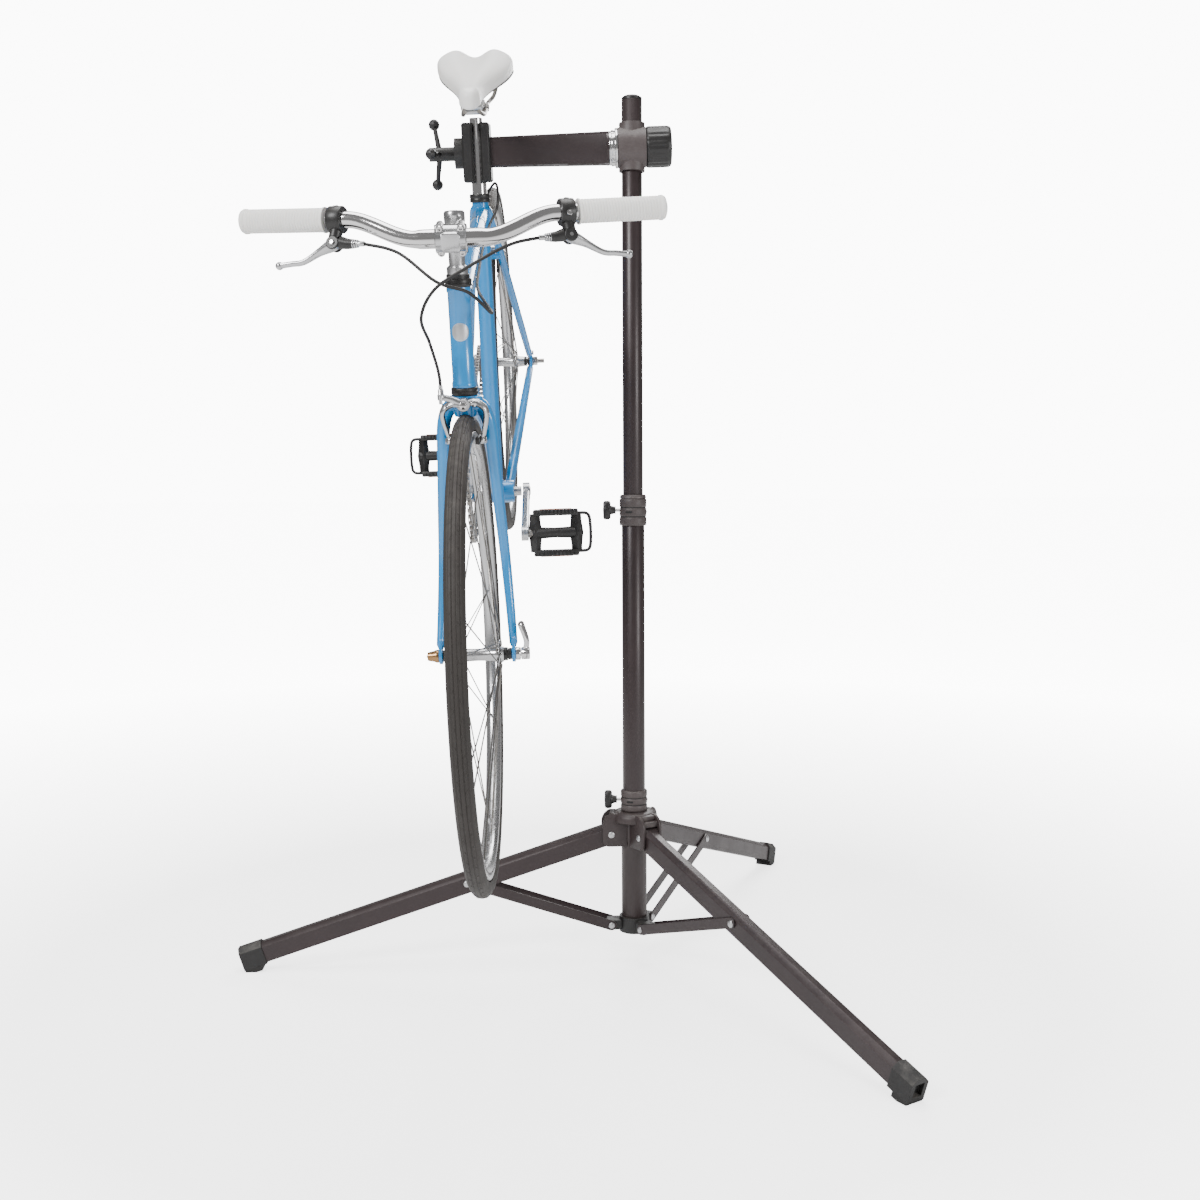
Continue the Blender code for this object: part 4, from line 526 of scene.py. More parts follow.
def shrink(outline, by):
    """The outline moved inwards by the given amount."""
    count = len(outline)
    area = sum(a[0] * b[1] - b[0] * a[1] for a, b in zip(outline, outline[1:] + outline[:1]))
    turn = 1 if area > 0 else -1
    moved = []
    for i in range(count):
        before, here, after = Vector(outline[i - 1]), Vector(outline[i]), Vector(outline[(i + 1) % count])
        one, two = (here - before).normalized(), (after - here).normalized()
        normal = Vector((-(one + two).y, (one + two).x)).normalized() * turn
        moved.append(tuple(here + normal * by))
    return moved


def arc(centre, radius, start, end, steps):
    return [(centre[0] + radius * math.cos(math.radians(start + (end - start) * i / steps)),
             centre[1] + radius * math.sin(math.radians(start + (end - start) * i / steps)))
            for i in range(steps + 1)]


def smooth_path(points, steps=8):
    """A Catmull-Rom curve through the points."""
    points = [Vector(p) for p in points]
    ends = [points[0] * 2 - points[1], *points, points[-1] * 2 - points[-2]]
    path = []
    for a, b, c, d in zip(ends, ends[1:], ends[2:], ends[3:]):
        for i in range(steps):
            t = i / steps
            path.append(0.5 * (2 * b + (c - a) * t + (2 * a - 5 * b + 4 * c - d) * t * t
                               + (3 * b - a - 3 * c + d) * t ** 3))
    return path + [points[-1]]


def piece(name, form, body, *nodes, bevel=0.0, smooth=40, slot=None):
    """Turns a Form into a piece that rides on body and stands for these CAD nodes."""
    bmesh.ops.recalc_face_normals(form.mesh, faces=form.mesh.faces)
    mesh = bpy.data.meshes.new(name)
    form.mesh.to_mesh(mesh)
    form.mesh.free()
    for key in form.finishes:
        mesh.materials.append(FINISHES[key])
    mesh.shade_smooth()
    made = bpy.data.objects.new(name, mesh)
    scene.collection.objects.link(made)
    mesh.set_sharp_from_angle(angle=math.radians(smooth))
    if bevel:
        soften(made, bevel)
    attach(made, body)
    if nodes:
        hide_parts(*nodes)
    return made


def soften(made, width, angle=35):
    modifier = made.modifiers.new("soft_edges", "BEVEL")
    modifier.width, modifier.segments, modifier.limit_method = width, 2, "ANGLE"
    modifier.angle_limit = math.radians(angle)
    modifier.harden_normals = False
    return made


def refined(node, finish_name, bevel=0.0008, smooth=35, name=None):
    """A copy of a CAD node with its flat faces whole, its round faces smooth and its edges softened."""
    form = Form().use(finish_name)
    form.mesh.from_mesh(frame["nodes"][node].data)
    bmesh.ops.remove_doubles(form.mesh, verts=form.mesh.verts, dist=2e-6)
    bmesh.ops.dissolve_limit(form.mesh, angle_limit=math.radians(0.6), verts=form.mesh.verts, edges=form.mesh.edges)
    for face in form.mesh.faces:
        face.material_index, face.smooth = 0, True
    body = next(b for b, members in frame["record"]["behaviour"]["bodies"].items() if node in members)
    return piece(name or node + "_finish", form, body, node, bevel=bevel, smooth=smooth)


# ---- wheels ----
WHEEL_R, TYRE_R, RIM_WIDTH, RIM_DEPTH = 0.345, 0.014, 0.022, 0.017
SPOKE_COUNT, SPOKE_R, FLANGE_R, FLANGE_HALF = 36, 0.0010, 0.0190, 0.0320
RIM_OUTER = WHEEL_R - 2 * TYRE_R + 0.003
RIM_INNER = RIM_OUTER - RIM_DEPTH
VALVE_TURN = math.radians(36)


def make_tyre(name, at, body, node):
    """A slick city tyre: a slightly squared crown with four cut grooves and a raised bead line."""
    middle = WHEEL_R - TYRE_R
    groove_angles = (-34, -13, 13, 34)
    profile = []
    for i in range(65):
        a = math.radians(-128 + 256 * i / 64)
        out = TYRE_R * (1 + 0.012 * math.cos(2 * a))
        nearest = min(abs(math.degrees(a) - g) for g in groove_angles)
        if nearest < 2.6:
            out -= 0.0008
        if 66 < abs(math.degrees(a)) < 71:
            out += 0.00025
        profile.append((middle + out * math.cos(a), out * math.sin(a)))
    inner = TYRE_R * 0.45
    profile += [(middle - inner * 0.9, inner), (middle - inner * 0.9, -inner)]
    form = Form().use("tyre_rubber").lathe(at, profile, steps=160, closed_ring=True)
    for k in range(180):  # the small sipes across the tread, as raised ticks beside the grooves
        a = math.tau * k / 180
        side = 1 if k % 2 else -1
        tilt = math.radians(23.5 * side)
        radial = at.to_3x3() @ Vector((math.cos(a), math.sin(a), 0))
        across = at.to_3x3() @ Z
        outward = radial * math.cos(tilt) + across * math.sin(tilt)
        centre = at.translation + radial * middle + outward * (TYRE_R * 1.008)
        form.brick(facing(centre, outward, radial.cross(across)), (0.0042, 0.0022, 0.0008), 0.0002, steps=1)
    return piece(name, form, body, node, smooth=38)


def make_rim(name, at, body, node):
    """A double-wall rim with machined brake tracks, an inner bridge and eyelets."""
    half, hook = RIM_WIDTH / 2, 0.0012
    form = Form().use("alloy")
    form.lathe(at, [
        (RIM_OUTER, half), (RIM_OUTER + 0.0006, half - hook * 0.5), (RIM_OUTER, half - hook),
        (RIM_OUTER - 0.0055, half - hook), (RIM_OUTER - 0.0065, half - hook * 2.2),
        (RIM_OUTER - 0.0070, 0), (RIM_OUTER - 0.0065, -half + hook * 2.2), (RIM_OUTER - 0.0055, -half + hook),
        (RIM_OUTER, -half + hook), (RIM_OUTER + 0.0006, -half + hook * 0.5), (RIM_OUTER, -half),
        (RIM_OUTER - 0.0010, -half - 0.0002), (RIM_OUTER - 0.0095, -half - 0.0002),
        (RIM_OUTER - 0.0105, -half + 0.0004), (RIM_INNER + 0.0022, -half + 0.0030), (RIM_INNER, -half + 0.0062),
        (RIM_INNER - 0.0003, 0), (RIM_INNER, half - 0.0062), (RIM_INNER + 0.0022, half - 0.0030),
        (RIM_OUTER - 0.0105, half - 0.0004), (RIM_OUTER - 0.0095, half + 0.0002), (RIM_OUTER - 0.0010, half + 0.0002)],
        steps=144, closed_ring=True)
    form.use("satin_alloy")
    for k in range(SPOKE_COUNT):
        a = math.tau * (k + 0.5) / SPOKE_COUNT
        inward = at.to_3x3() @ Vector((-math.cos(a), -math.sin(a), 0))
        place = at.translation - inward * (RIM_INNER + 0.0006)
        form.lathe(facing(place, inward), [(0.0016, 0), (0.0030, 0.0004), (0.0027, 0.0016), (0.0019, 0.0019)], 12)
    return piece(name, form, body, node, smooth=35)


def make_hub_and_spokes(name, at, body, node, old_half):
    """A flanged hub with three-cross spokes, nipples and a valve."""
    form = Form().use("alloy")
    flange, thick = FLANGE_R + 0.0028, 0.0016
    form.lathe(at, [
        (0.0062, -old_half + 0.0112), (0.0098, -old_half + 0.0114), (0.0108, -FLANGE_HALF - 0.006), (0.0125, -FLANGE_HALF - thick),
        (flange - 0.0006, -FLANGE_HALF - thick), (flange, -FLANGE_HALF - thick / 2), (flange, -FLANGE_HALF + thick / 2),
        (flange - 0.0006, -FLANGE_HALF + thick), (0.0128, -FLANGE_HALF + thick + 0.0006), (0.0096, -FLANGE_HALF + 0.0080),
        (0.0088, 0), (0.0096, FLANGE_HALF - 0.0080), (0.0128, FLANGE_HALF - thick - 0.0006),
        (flange - 0.0006, FLANGE_HALF - thick), (flange, FLANGE_HALF - thick / 2), (flange, FLANGE_HALF + thick / 2),
        (flange - 0.0006, FLANGE_HALF + thick), (0.0125, FLANGE_HALF + thick), (0.0108, FLANGE_HALF + 0.006),
        (0.0098, old_half - 0.0114), (0.0062, old_half - 0.0112)], 64)
    form.use("black_plastic")
    for side in (1, -1):
        for start_at, wide, radius in ((old_half - 0.0052, 0.0050, 0.0086), (old_half - 0.0112, 0.0052, 0.0098)):
            end_at = start_at + wide
            form.lathe(at, [(0.0050, side * start_at), (radius, side * start_at), (radius, side * end_at),
                            (0.0050, side * end_at)][::side], 24, closed_ring=True)
    turn = at.to_3x3()
    per_side = SPOKE_COUNT // 2
    for k in range(SPOKE_COUNT):
        side, j = (1 if k % 2 else -1), k // 2
        leading = 1 if j % 2 else -1
        hole = math.tau * (j + (0.25 if side > 0 else 0.75)) / per_side
        reach = math.tau * 2.75 / per_side
        base = turn @ Vector((FLANGE_R * math.cos(hole), FLANGE_R * math.sin(hole), 0))
        head_z = side * (FLANGE_HALF + leading * 0.0022)
        start = at.translation + base + turn @ Z * head_z
        rim_angle = math.tau * (round((hole + leading * reach) / math.tau * SPOKE_COUNT - 0.5) + 0.5) / SPOKE_COUNT
        out = turn @ Vector((math.cos(rim_angle), math.sin(rim_angle), 0))
        end = at.translation + out * (RIM_INNER + 0.001) + turn @ Z * side * 0.0022
        line = (start - end).normalized()
        form.use("spoke_steel").tube([start - turn @ Z * side * leading * 0.0040, start, start - line * 0.0012, end],
                                SPOKE_R, 6)
        form.lathe(facing(start - turn @ Z * side * leading * 0.0040, turn @ Z * side * leading),
                   [(0.0021, -0.0012), (0.0021, 0), (0.0010, 0.0002)], 10)
        form.use("satin_alloy").tube([end - line * 0.001, end + line * 0.011, end + line * 0.0125], [0.0018, 0.0017, 0.0011], 8)
    valve = turn @ Vector((math.cos(VALVE_TURN), math.sin(VALVE_TURN), 0))
    foot = at.translation + valve * (RIM_INNER + 0.0004)
    form.use("satin_alloy").lathe(facing(foot, -valve), [(0.0045, 0), (0.0045, 0.0016), (0.0030, 0.0022), (0.0029, 0.020)], 16)
    form.use("rubber").lathe(facing(foot, -valve), [(0.0031, 0.020), (0.0036, 0.0205), (0.0036, 0.030), (0.0025, 0.0325)], 16)
    return piece(name, form, body, node, smooth=40)


FRONT_TURN, REAR_TURN = facing(FRONT_AXLE, LEFT, FORWARD), facing(REAR_AXLE, LEFT, FORWARD)


def spin_extent(node):
    """How far a node reaches each side of its wheel's middle, along the axle."""
    centre = FRONT_AXLE if node.startswith("front") else REAR_AXLE
    reach = [(vertex.co - centre).dot(LEFT) for vertex in frame["nodes"][node].data.vertices]
    return min(reach), max(reach)


for end, turn in (("front", FRONT_TURN), ("rear", REAR_TURN)):
    make_tyre(end + "_tyre_tread", turn, end + "_wheel", end + "_tyre")
    make_rim(end + "_rim_profile", turn, end + "_wheel", end + "_rim")
    low, high = spin_extent(end + "_hub")
    make_hub_and_spokes(end + "_hub_spokes", turn, end + "_wheel", end + "_hub", 0.0495 if end == "front" else 0.0595)


# ---- saddle, seatpost and clamp ----


def saddle_frame():
    """The saddle's own frame, from its CAD solid: its middle, with x to the nose and z out of the top."""
    points = [BIKE.inverted() @ v.co for v in frame["nodes"]["saddle"].data.vertices]
    low = Vector([min(p[i] for p in points) for i in range(3)])
    high = Vector([max(p[i] for p in points) for i in range(3)])
    return low, high


def make_saddle():
    """A padded top in vinyl over a shell: two full lobes at the back with a groove between, and a slim nose."""
    low, high = saddle_frame()
    form = Form().use("white_vinyl")
    length, floor = high.x - low.x, low.z
    stations, around = 56, 72
    rings = []
    for i in range(stations + 1):
        t = i / stations
        x = low.x + 0.004 + (length - 0.006) * t
        tail = math.sin(min(1, t / 0.16) * math.pi / 2) ** 0.6
        nose_end = math.sqrt(max(0.0, 1 - max(0, (t - 0.90) / 0.10) ** 2.2))
        flare = 1 / (1 + math.exp((t - 0.50) / 0.155))
        half = ((high.y - low.y) / 2 - 0.0120) * flare * 1.035 + 0.0120 + 0.0020 * math.exp(-((t - 0.93) / 0.06) ** 2)
        half *= (0.62 + 0.38 * tail) * max(nose_end, 0.25)
        top = floor + 0.034 + 0.015 * (1 - t) ** 1.5 + 0.003 * math.exp(-((t - 0.95) / 0.08) ** 2)
        top = floor + (top - floor) * (0.62 + 0.38 * min(1, tail + 0.1)) * (0.55 + 0.45 * nose_end)
        skirt = floor + 0.008 + 0.012 * flare * (1 - t)
        groove = 0.0105 * math.exp(-((t - 0.05) / 0.26) ** 2) + 0.0020 * (1 - t)
        row = []
        for k in range(around):
            a = math.tau * k / around
            side, rise = math.cos(a), math.sin(a)
            y = half * math.copysign(abs(side) ** 0.78, side)
            if rise >= 0:
                lobe = 1 + 0.20 * flare * math.exp(-((abs(y) / half - 0.52) / 0.30) ** 2)
                z = skirt + (top - skirt) * rise ** 0.62 * lobe / 1.2
                z -= groove * math.exp(-(y / (0.26 * half + 0.004)) ** 2)
            else:
                z = skirt - (skirt - floor) * (-rise) ** 0.45
            row.append((x, y, z))
        rings.append(form.ring(BIKE, row))
    form._skin(rings)
    seat = piece("saddle_top", form, "clamp", "saddle", smooth=75)
    smoother = seat.modifiers.new("round", "SUBSURF")
    smoother.levels = smoother.render_levels = 1
    trim = Form().use("black_plastic")
    edge_path = []
    for k in range(60):
        a = math.tau * k / 60
        t = 0.5 - 0.5 * math.cos(a)
        flare = 1 / (1 + math.exp((t - 0.50) / 0.155))
        half = (((high.y - low.y) / 2 - 0.0120) * flare + 0.0115) * (0.98 if 0.04 < t < 0.96 else 0.5)
        x = low.x + 0.006 + (length - 0.012) * t
        edge_path.append(on_bike(x, math.copysign(half, math.sin(a)) if 0.001 < t < 0.999 else 0, floor + 0.0035))
    trim.tube(edge_path + edge_path[:1], 0.0016, 8, closed_ends=False)
    shell = piece("saddle_shell_rim", trim, "clamp", slot="black_plastic")
    rivets = Form().use("chrome")
    for t, y in ((0.10, 0.042), (0.10, -0.042), (0.06, 0.0), (0.93, 0.008), (0.93, -0.008)):
        rivets.lathe(facing(on_bike(low.x + length * t, y, floor + 0.0075), -UP, FORWARD),
                     [(0.0042, 0), (0.0038, 0.0012), (0.002, 0.0020)], 20)
    piece("saddle_rivets", rivets, "clamp")
    return seat, shell


make_saddle()


# ---- grips, handlebar and stem ----
def node_line(node, ends=0.25):
    """The line down the middle of a long CAD node, from the means of its far ends."""
    points = [v.co.copy() for v in frame["nodes"][node].data.vertices]
    far = max(points, key=lambda p: (p - points[0]).length)
    near = max(points, key=lambda p: (p - far).length)
    along = (far - near).normalized()
    span = (far - near).dot(along)
    one = [p for p in points if (p - near).dot(along) < span * ends]
    two = [p for p in points if (p - near).dot(along) > span * (1 - ends)]
    a, b = sum(one, Vector()) / len(one), sum(two, Vector()) / len(two)
    way_along = (b - a).normalized()
    low = min((p - a).dot(way_along) for p in points)
    high = max((p - a).dot(way_along) for p in points)
    return a + way_along * low, a + way_along * high


def make_grip(side):
    """A moulded grip: fine ribs round it, a flange at the lever and a domed end."""
    one, two = node_line("grip_" + side)
    inner, outer = sorted((one, two), key=lambda p: (p - BAR_MIDDLE).length)
    length, r = (outer - inner).length, 0.0160
    profile = [(0.0114, 0), (r + 0.0009, 0.0002), (r + 0.0012, 0.0012), (r + 0.0009, 0.0030), (r - 0.0008, 0.0040)]
    ribs = 26
    for i in range(ribs):
        h = 0.0050 + (length - 0.016) * i / ribs
        pitch = (length - 0.016) / ribs
        profile += [(r - 0.0008, h), (r - 0.0001, h + pitch * 0.25), (r, h + pitch * 0.5), (r - 0.0001, h + pitch * 0.75)]
    profile += [(r - 0.0006, length - 0.0095), (r + 0.0006, length - 0.0085), (r + 0.0008, length - 0.0050),
                (r - 0.0008, length - 0.0020), (r - 0.0045, length - 0.0004), (0.0060, length), (0.0030, length - 0.0006),
                (0.0005, length - 0.0006)]
    form = Form().use("white_rubber").lathe(facing(inner, outer - inner), profile, 64)
    return piece("grip_ribbed_" + side, form, "steering", "grip_" + side, smooth=50)


BAR_MIDDLE = (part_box("stem")[0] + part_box("stem")[1]) / 2
for side in ("left", "right"):
    make_grip(side)


# ---- the bicycle's own lines, worked out from its joints ----
CUP_HEIGHT, HEAD_TUBE, STEM_RISE, STEM_REACH = 0.0113, 0.137, 0.087, 0.070
BAR_HALF, BAR_RISE, BAR_BACK, BAR_SWEEP, BAR_R, BAR_CLAMP_R = 0.282, 0.020, 0.030, 0.070, 0.0111, 0.0127
SEAT_TUBE, SEAT_TUBE_R = 0.525, 0.0143
RACE = pin("steering")
HEAD_BOTTOM = RACE + STEER * CUP_HEIGHT
HEAD_TOP = HEAD_BOTTOM + STEER * HEAD_TUBE
ELBOW = HEAD_TOP + STEER * STEM_RISE
BAR_CLAMP = ELBOW + FORWARD * STEM_REACH
SEAT_TOP = CRANK_AXLE + STEER * SEAT_TUBE
TOP_TUBE_SEAT = CRANK_AXLE + STEER * 0.495
TOP_TUBE_HEAD = HEAD_TOP - STEER * 0.030
DOWN_TUBE_HEAD = HEAD_BOTTOM + STEER * 0.032
REAR_HALF, FRONT_HALF, DROPOUT = 0.060, 0.050, 0.005


def weld(form, centre, along, radius, thick=0.0018):
    """A slim fillet ring where one tube meets another."""
    form.lathe(facing(centre, along), [(radius, -thick), (radius + thick * 0.55, -thick * 0.5), (radius + thick * 0.75, 0),
                                       (radius + thick * 0.5, thick * 0.6), (radius, thick)], 40, closed_ring=True)


def make_frame():
    form = Form().use("blue_paint")
    form.lathe(facing(HEAD_BOTTOM, STEER), [
        (0.0140, 0), (0.0168, 0.0002), (0.0170, 0.0012), (0.0170, 0.0060), (0.0158, 0.0078), (0.0158, HEAD_TUBE - 0.0078),
        (0.0170, HEAD_TUBE - 0.0060), (0.0170, HEAD_TUBE - 0.0012), (0.0168, HEAD_TUBE - 0.0002), (0.0140, HEAD_TUBE)],
        56, closed_ring=True)
    for start, end, radius in ((CRANK_AXLE, SEAT_TOP, SEAT_TUBE_R), (TOP_TUBE_SEAT, TOP_TUBE_HEAD, 0.0127),
                               (CRANK_AXLE, DOWN_TUBE_HEAD, 0.0143)):
        form.tube([start, start.lerp(end, 0.5), end], radius, 48)
    top_way, down_way = (TOP_TUBE_HEAD - TOP_TUBE_SEAT).normalized(), (DOWN_TUBE_HEAD - CRANK_AXLE).normalized()
    weld(form, TOP_TUBE_HEAD - top_way * 0.0185, top_way, 0.0125)
    weld(form, TOP_TUBE_SEAT + top_way * 0.0170, top_way, 0.0125)
    weld(form, DOWN_TUBE_HEAD - down_way * 0.0200, down_way, 0.0141)
    weld(form, CRANK_AXLE + down_way * 0.0215, down_way, 0.0141)
    weld(form, CRANK_AXLE + STEER * 0.0210, STEER, SEAT_TUBE_R - 0.0002)
    form.lathe(facing(CRANK_AXLE - LEFT * 0.034, LEFT), [
        (0.0170, 0), (0.0194, 0.0002), (0.0200, 0.0010), (0.0200, 0.0670), (0.0194, 0.0678), (0.0170, 0.068)],
        56, closed_ring=True)
    for side in (1, -1):
        end = REAR_AXLE + LEFT * side * (REAR_HALF + DROPOUT / 2)
        low = on_bike(-0.012, side * 0.024, 0.002)
        high = TOP_TUBE_SEAT - FORWARD * 0.006 + LEFT * side * 0.0125
        low_way, high_way = (end - low).normalized(), (end - high).normalized()
        length = (end - low).length - 0.022
        form.tube([low, low + low_way * length * 0.3, low + low_way * length * 0.75, low + low_way * (length - 0.004),
                   low + low_way * (length + 0.004)], [0.0094, 0.0088, 0.0074, 0.0066, 0.0035], 32)
        length = (end - high).length - 0.022
        form.tube([high - high_way * 0.010, high, high + high_way * length * 0.8, high + high_way * (length - 0.004),
                   high + high_way * (length + 0.004)], [0.0045, 0.0070, 0.0068, 0.0060, 0.0032], 32)
        plane = axes_at(end, FORWARD, UP, -LEFT)
        to_low = BIKE.to_3x3().inverted() @ -low_way * 0.034
        to_high = BIKE.to_3x3().inverted() @ -high_way * 0.034
        outline = (arc((0, 0), 0.0130, 190, 330, 14) + [(to_low.x, to_low.z - 0.004), (to_low.x, to_low.z + 0.004),
                   (0.016, 0.014), (to_high.x + 0.005, to_high.z), (to_high.x - 0.005, to_high.z + 0.003)])
        form.slab(plane, outline, -DROPOUT / 2, DROPOUT / 2, 0.0008)
        form.use("satin_alloy").hexagon(facing(end + UP * 0.0185 + LEFT * side * DROPOUT / 2, LEFT * side), 0.008, 0.003)
        form.use("blue_paint")
    pivot, out = pin("rear_brake_left_close"), way("rear_brake_left_close")
    bridge = pivot - out * 0.0063
    form.tube([bridge + LEFT * 0.026, bridge - LEFT * 0.026], 0.0060, 32)
    for share in (0.18, 0.50, 0.84):  # clips that hold the brake cable along the top tube
        at = TOP_TUBE_HEAD.lerp(TOP_TUBE_SEAT, share)
        form.use("chrome").lathe(facing(at, top_way), [(0.0126, -0.003), (0.0133, -0.003), (0.0133, 0.003), (0.0126, 0.003)],
                                 40, closed_ring=True)
    for share in (0.42, 0.52):  # bottle bosses on the down tube
        face = CRANK_AXLE.lerp(DOWN_TUBE_HEAD, share)
        normal = LEFT.cross(down_way).normalized()
        form.use("satin_alloy").screw(facing(face - normal * 0.0140, -normal), 0.0040, 0.0030)
    return piece("frame_tubes", form, "clamp", "frame", smooth=45)


def make_badge():
    """A plain domed disc on the head tube."""
    middle = HEAD_BOTTOM.lerp(HEAD_TOP, 0.56)
    form = Form().use("pearl")
    for row, radius in ((0, 0.0125), (1, 0.0104)):
        rings = []
        for step in range(8):
            r = radius * (1 - step / 7 * 0.999)
            ring = []
            for i in range(40):
                a = math.tau * i / 40
                across, along = r * math.cos(a), r * math.sin(a)
                turn = across / 0.0158
                lift = 0.0159 + (0.0004 if row == 0 else 0.0007) + 0.0003 * (1 - (r / radius) ** 2)
                ring.append(tuple(middle + STEER * along + LEFT * math.sin(turn) * lift + AHEAD * math.cos(turn) * lift))
            rings.append(form.ring(Matrix.Identity(4), ring))
        edge = [vertex.co - AHEAD * 0.0012 for vertex in rings[0]]
        rings.insert(0, form.ring(Matrix.Identity(4), [tuple(p) for p in edge]))
        form._skin(rings)
        form.use("satin_alloy")
    return piece("head_badge", form, "clamp", slot="alloy")


def make_fork():
    form = Form().use("blue_paint")
    crown = RACE - STEER * 0.0095
    form.lathe(facing(RACE - STEER * 0.030, STEER), [
        (0.0110, 0), (0.0152, 0.0005), (0.0165, 0.0040), (0.0165, 0.0200), (0.0180, 0.0265), (0.0186, 0.0280), (0.0186, 0.0298),
        (0.0128, 0.0300), (0.0126, 0.0400), (0.0126, 0.030 + CUP_HEIGHT + HEAD_TUBE + 0.019)], 48)
    for side in (1, -1):
        top = RACE - STEER * 0.0076 + LEFT * side * 0.0305
        end = FRONT_AXLE + LEFT * side * (FRONT_HALF + DROPOUT / 2)
        knee = top - STEER * 0.372 * 0.62 + LEFT * side * (FRONT_HALF + DROPOUT / 2 - 0.0305) * 0.66
        tip = end + STEER * 0.016 - AHEAD * 0.003
        shoulder = RACE - STEER * 0.0150 + LEFT * side * 0.0100
        path = smooth_path([shoulder, RACE - STEER * 0.0175 + LEFT * side * 0.0225, RACE - STEER * 0.0420 + LEFT * side * 0.0322,
                            top.lerp(knee, 0.4), knee.lerp(top, 0.3), knee, knee * 0.45 + tip * 0.55 - AHEAD * 0.006, tip], 7)
        count = len(path)
        radii = [0.0120 - 0.0022 * min(1, i / 12) - 0.0038 * max(0, (i - 12) / (count - 13)) for i in range(count)]
        form.tube(path + [tip - STEER * 0.006], radii + [0.0036], 36)
        up = STEER * 0.026 - AHEAD * 0.003
        x, z = up.dot(FORWARD), up.dot(UP)
        form.slab(axes_at(end, FORWARD, UP, -LEFT), arc((0, 0), 0.0120, 150, 400, 20) + [(x + 0.006, z), (x - 0.006, z)],
                  -DROPOUT / 2, DROPOUT / 2, 0.0008)
    form.brick(axes_at(crown, AHEAD, LEFT, STEER), (0.026, 0.050, 0.017), 0.004, 0.010, 6)
    return piece("fork_blades", form, "steering", "fork", smooth=45)


def make_headset():
    for name, base, up, tall in (("lower", HEAD_BOTTOM, -STEER, 0.0110), ("upper", HEAD_TOP, STEER, 0.0168)):
        form = Form().use("black_plastic").lathe(facing(base + up * 0.0003, up), [
            (0.0134, 0), (0.0172, 0), (0.0186, 0.0012), (0.0188, 0.0022), (0.0188, 0.0040), (0.0182, 0.0045), (0.0182, 0.0052),
            (0.0188, 0.0057), (0.0188, 0.0086), (0.0180, 0.0104), (0.0160, 0.0108)]
            + ([(0.0160, 0.0122), (0.0162, tall - 0.001), (0.0150, tall), (0.0134, tall)] if tall > 0.012 else [(0.0134, 0.0110)]),
            56, closed_ring=True)
        piece(f"headset_{name}_cup", form, "clamp", "headset_" + name)


def make_stem():
    form = Form().use("alloy")
    back = (ELBOW - BAR_CLAMP).normalized()
    form.lathe(facing(HEAD_TOP - STEER * 0.090, STEER), [(0.0100, 0), (0.0107, 0.001), (0.0107, 0.104), (0.0145, 0.1065),
               (0.0148, 0.110), (0.0148, 0.116), (0.0112, 0.119), (0.0112, 0.170), (0.0140, 0.174), (0.0145, 0.180),
               (0.0145, 0.188), (0.0125, 0.1908), (0.0080, 0.1912)], 48)
    # painted shade: a thin near-black disc on the stem's top stands for the shade in its opening
    form.use("painted_shade_slot").lathe(facing(ELBOW + STEER * 0.0141, STEER), [(0.0052, 0), (0.0052, 0.0004), (0.001, 0.0004)], 6)
    form.use("alloy").tube([ELBOW - back * 0.002, ELBOW.lerp(BAR_CLAMP, 0.4), ELBOW.lerp(BAR_CLAMP, 0.72)],
                           [0.0128, 0.0118, 0.0135], 40)
    form.lathe(facing(BAR_CLAMP - LEFT * 0.021, LEFT), [
        (BAR_CLAMP_R, 0), (0.0176, 0.0002), (0.0187, 0.0014), (0.0187, 0.0406), (0.0176, 0.0418), (BAR_CLAMP_R, 0.042)],
        56, closed_ring=True)
    for rise in (1, -1):
        for side in (1, -1):
            ear = BAR_CLAMP + UP * rise * 0.0166 + LEFT * side * 0.0140
            form.tube([ear - FORWARD * 0.008, ear + FORWARD * 0.0085], 0.0052, 24)
            form.use("chrome").screw(facing(ear + FORWARD * 0.0083, FORWARD), 0.0042, 0.0045)
            form.use("alloy")
    form.brick(axes_at(BAR_CLAMP + FORWARD * 0.0150, LEFT, UP, FORWARD), (0.026, 0.027, 0.0085), 0.0024, 0.006, 5)
    # painted shade: thin near-black blocks stand for the shade in the gaps of the bar clamp
    form.use("painted_shade_slot")
    for rise in (1, -1):
        gap = BAR_CLAMP + UP * rise * 0.0172 + FORWARD * 0.0015
        form.brick(axes_at(gap, LEFT, UP, FORWARD), (0.0425, 0.0040, 0.0012), 0.0002)
    return piece("stem_quill", form, "steering", "stem", smooth=40)


def bar_point(y):
    """The handlebar's middle line at a distance y to the rider's left."""
    flat, bend_end = 0.045, 0.140
    blend = min(max((abs(y) - flat) / (bend_end - flat), 0), 1)
    ease = blend * blend * (3 - 2 * blend)
    tail = max(abs(y) - bend_end, 0) / (BAR_HALF - bend_end)
    back = BAR_BACK * ease + (BAR_SWEEP - BAR_BACK) * tail
    return BAR_CLAMP + BIKE.to_3x3() @ Vector((-back, y, BAR_RISE * ease * (1 - 0.55 * tail)))


def make_handlebar():
    steps = 96
    ys = [BAR_HALF * (2 * i / steps - 1) for i in range(steps + 1)]
    radii = [BAR_R + (BAR_CLAMP_R - BAR_R) * min(1, max(0, (0.050 - abs(y)) / 0.010)) for y in ys]
    form = Form().use("chrome").tube([bar_point(y) for y in ys], radii, 40)
    return piece("handlebar_tube", form, "steering", "handlebar")


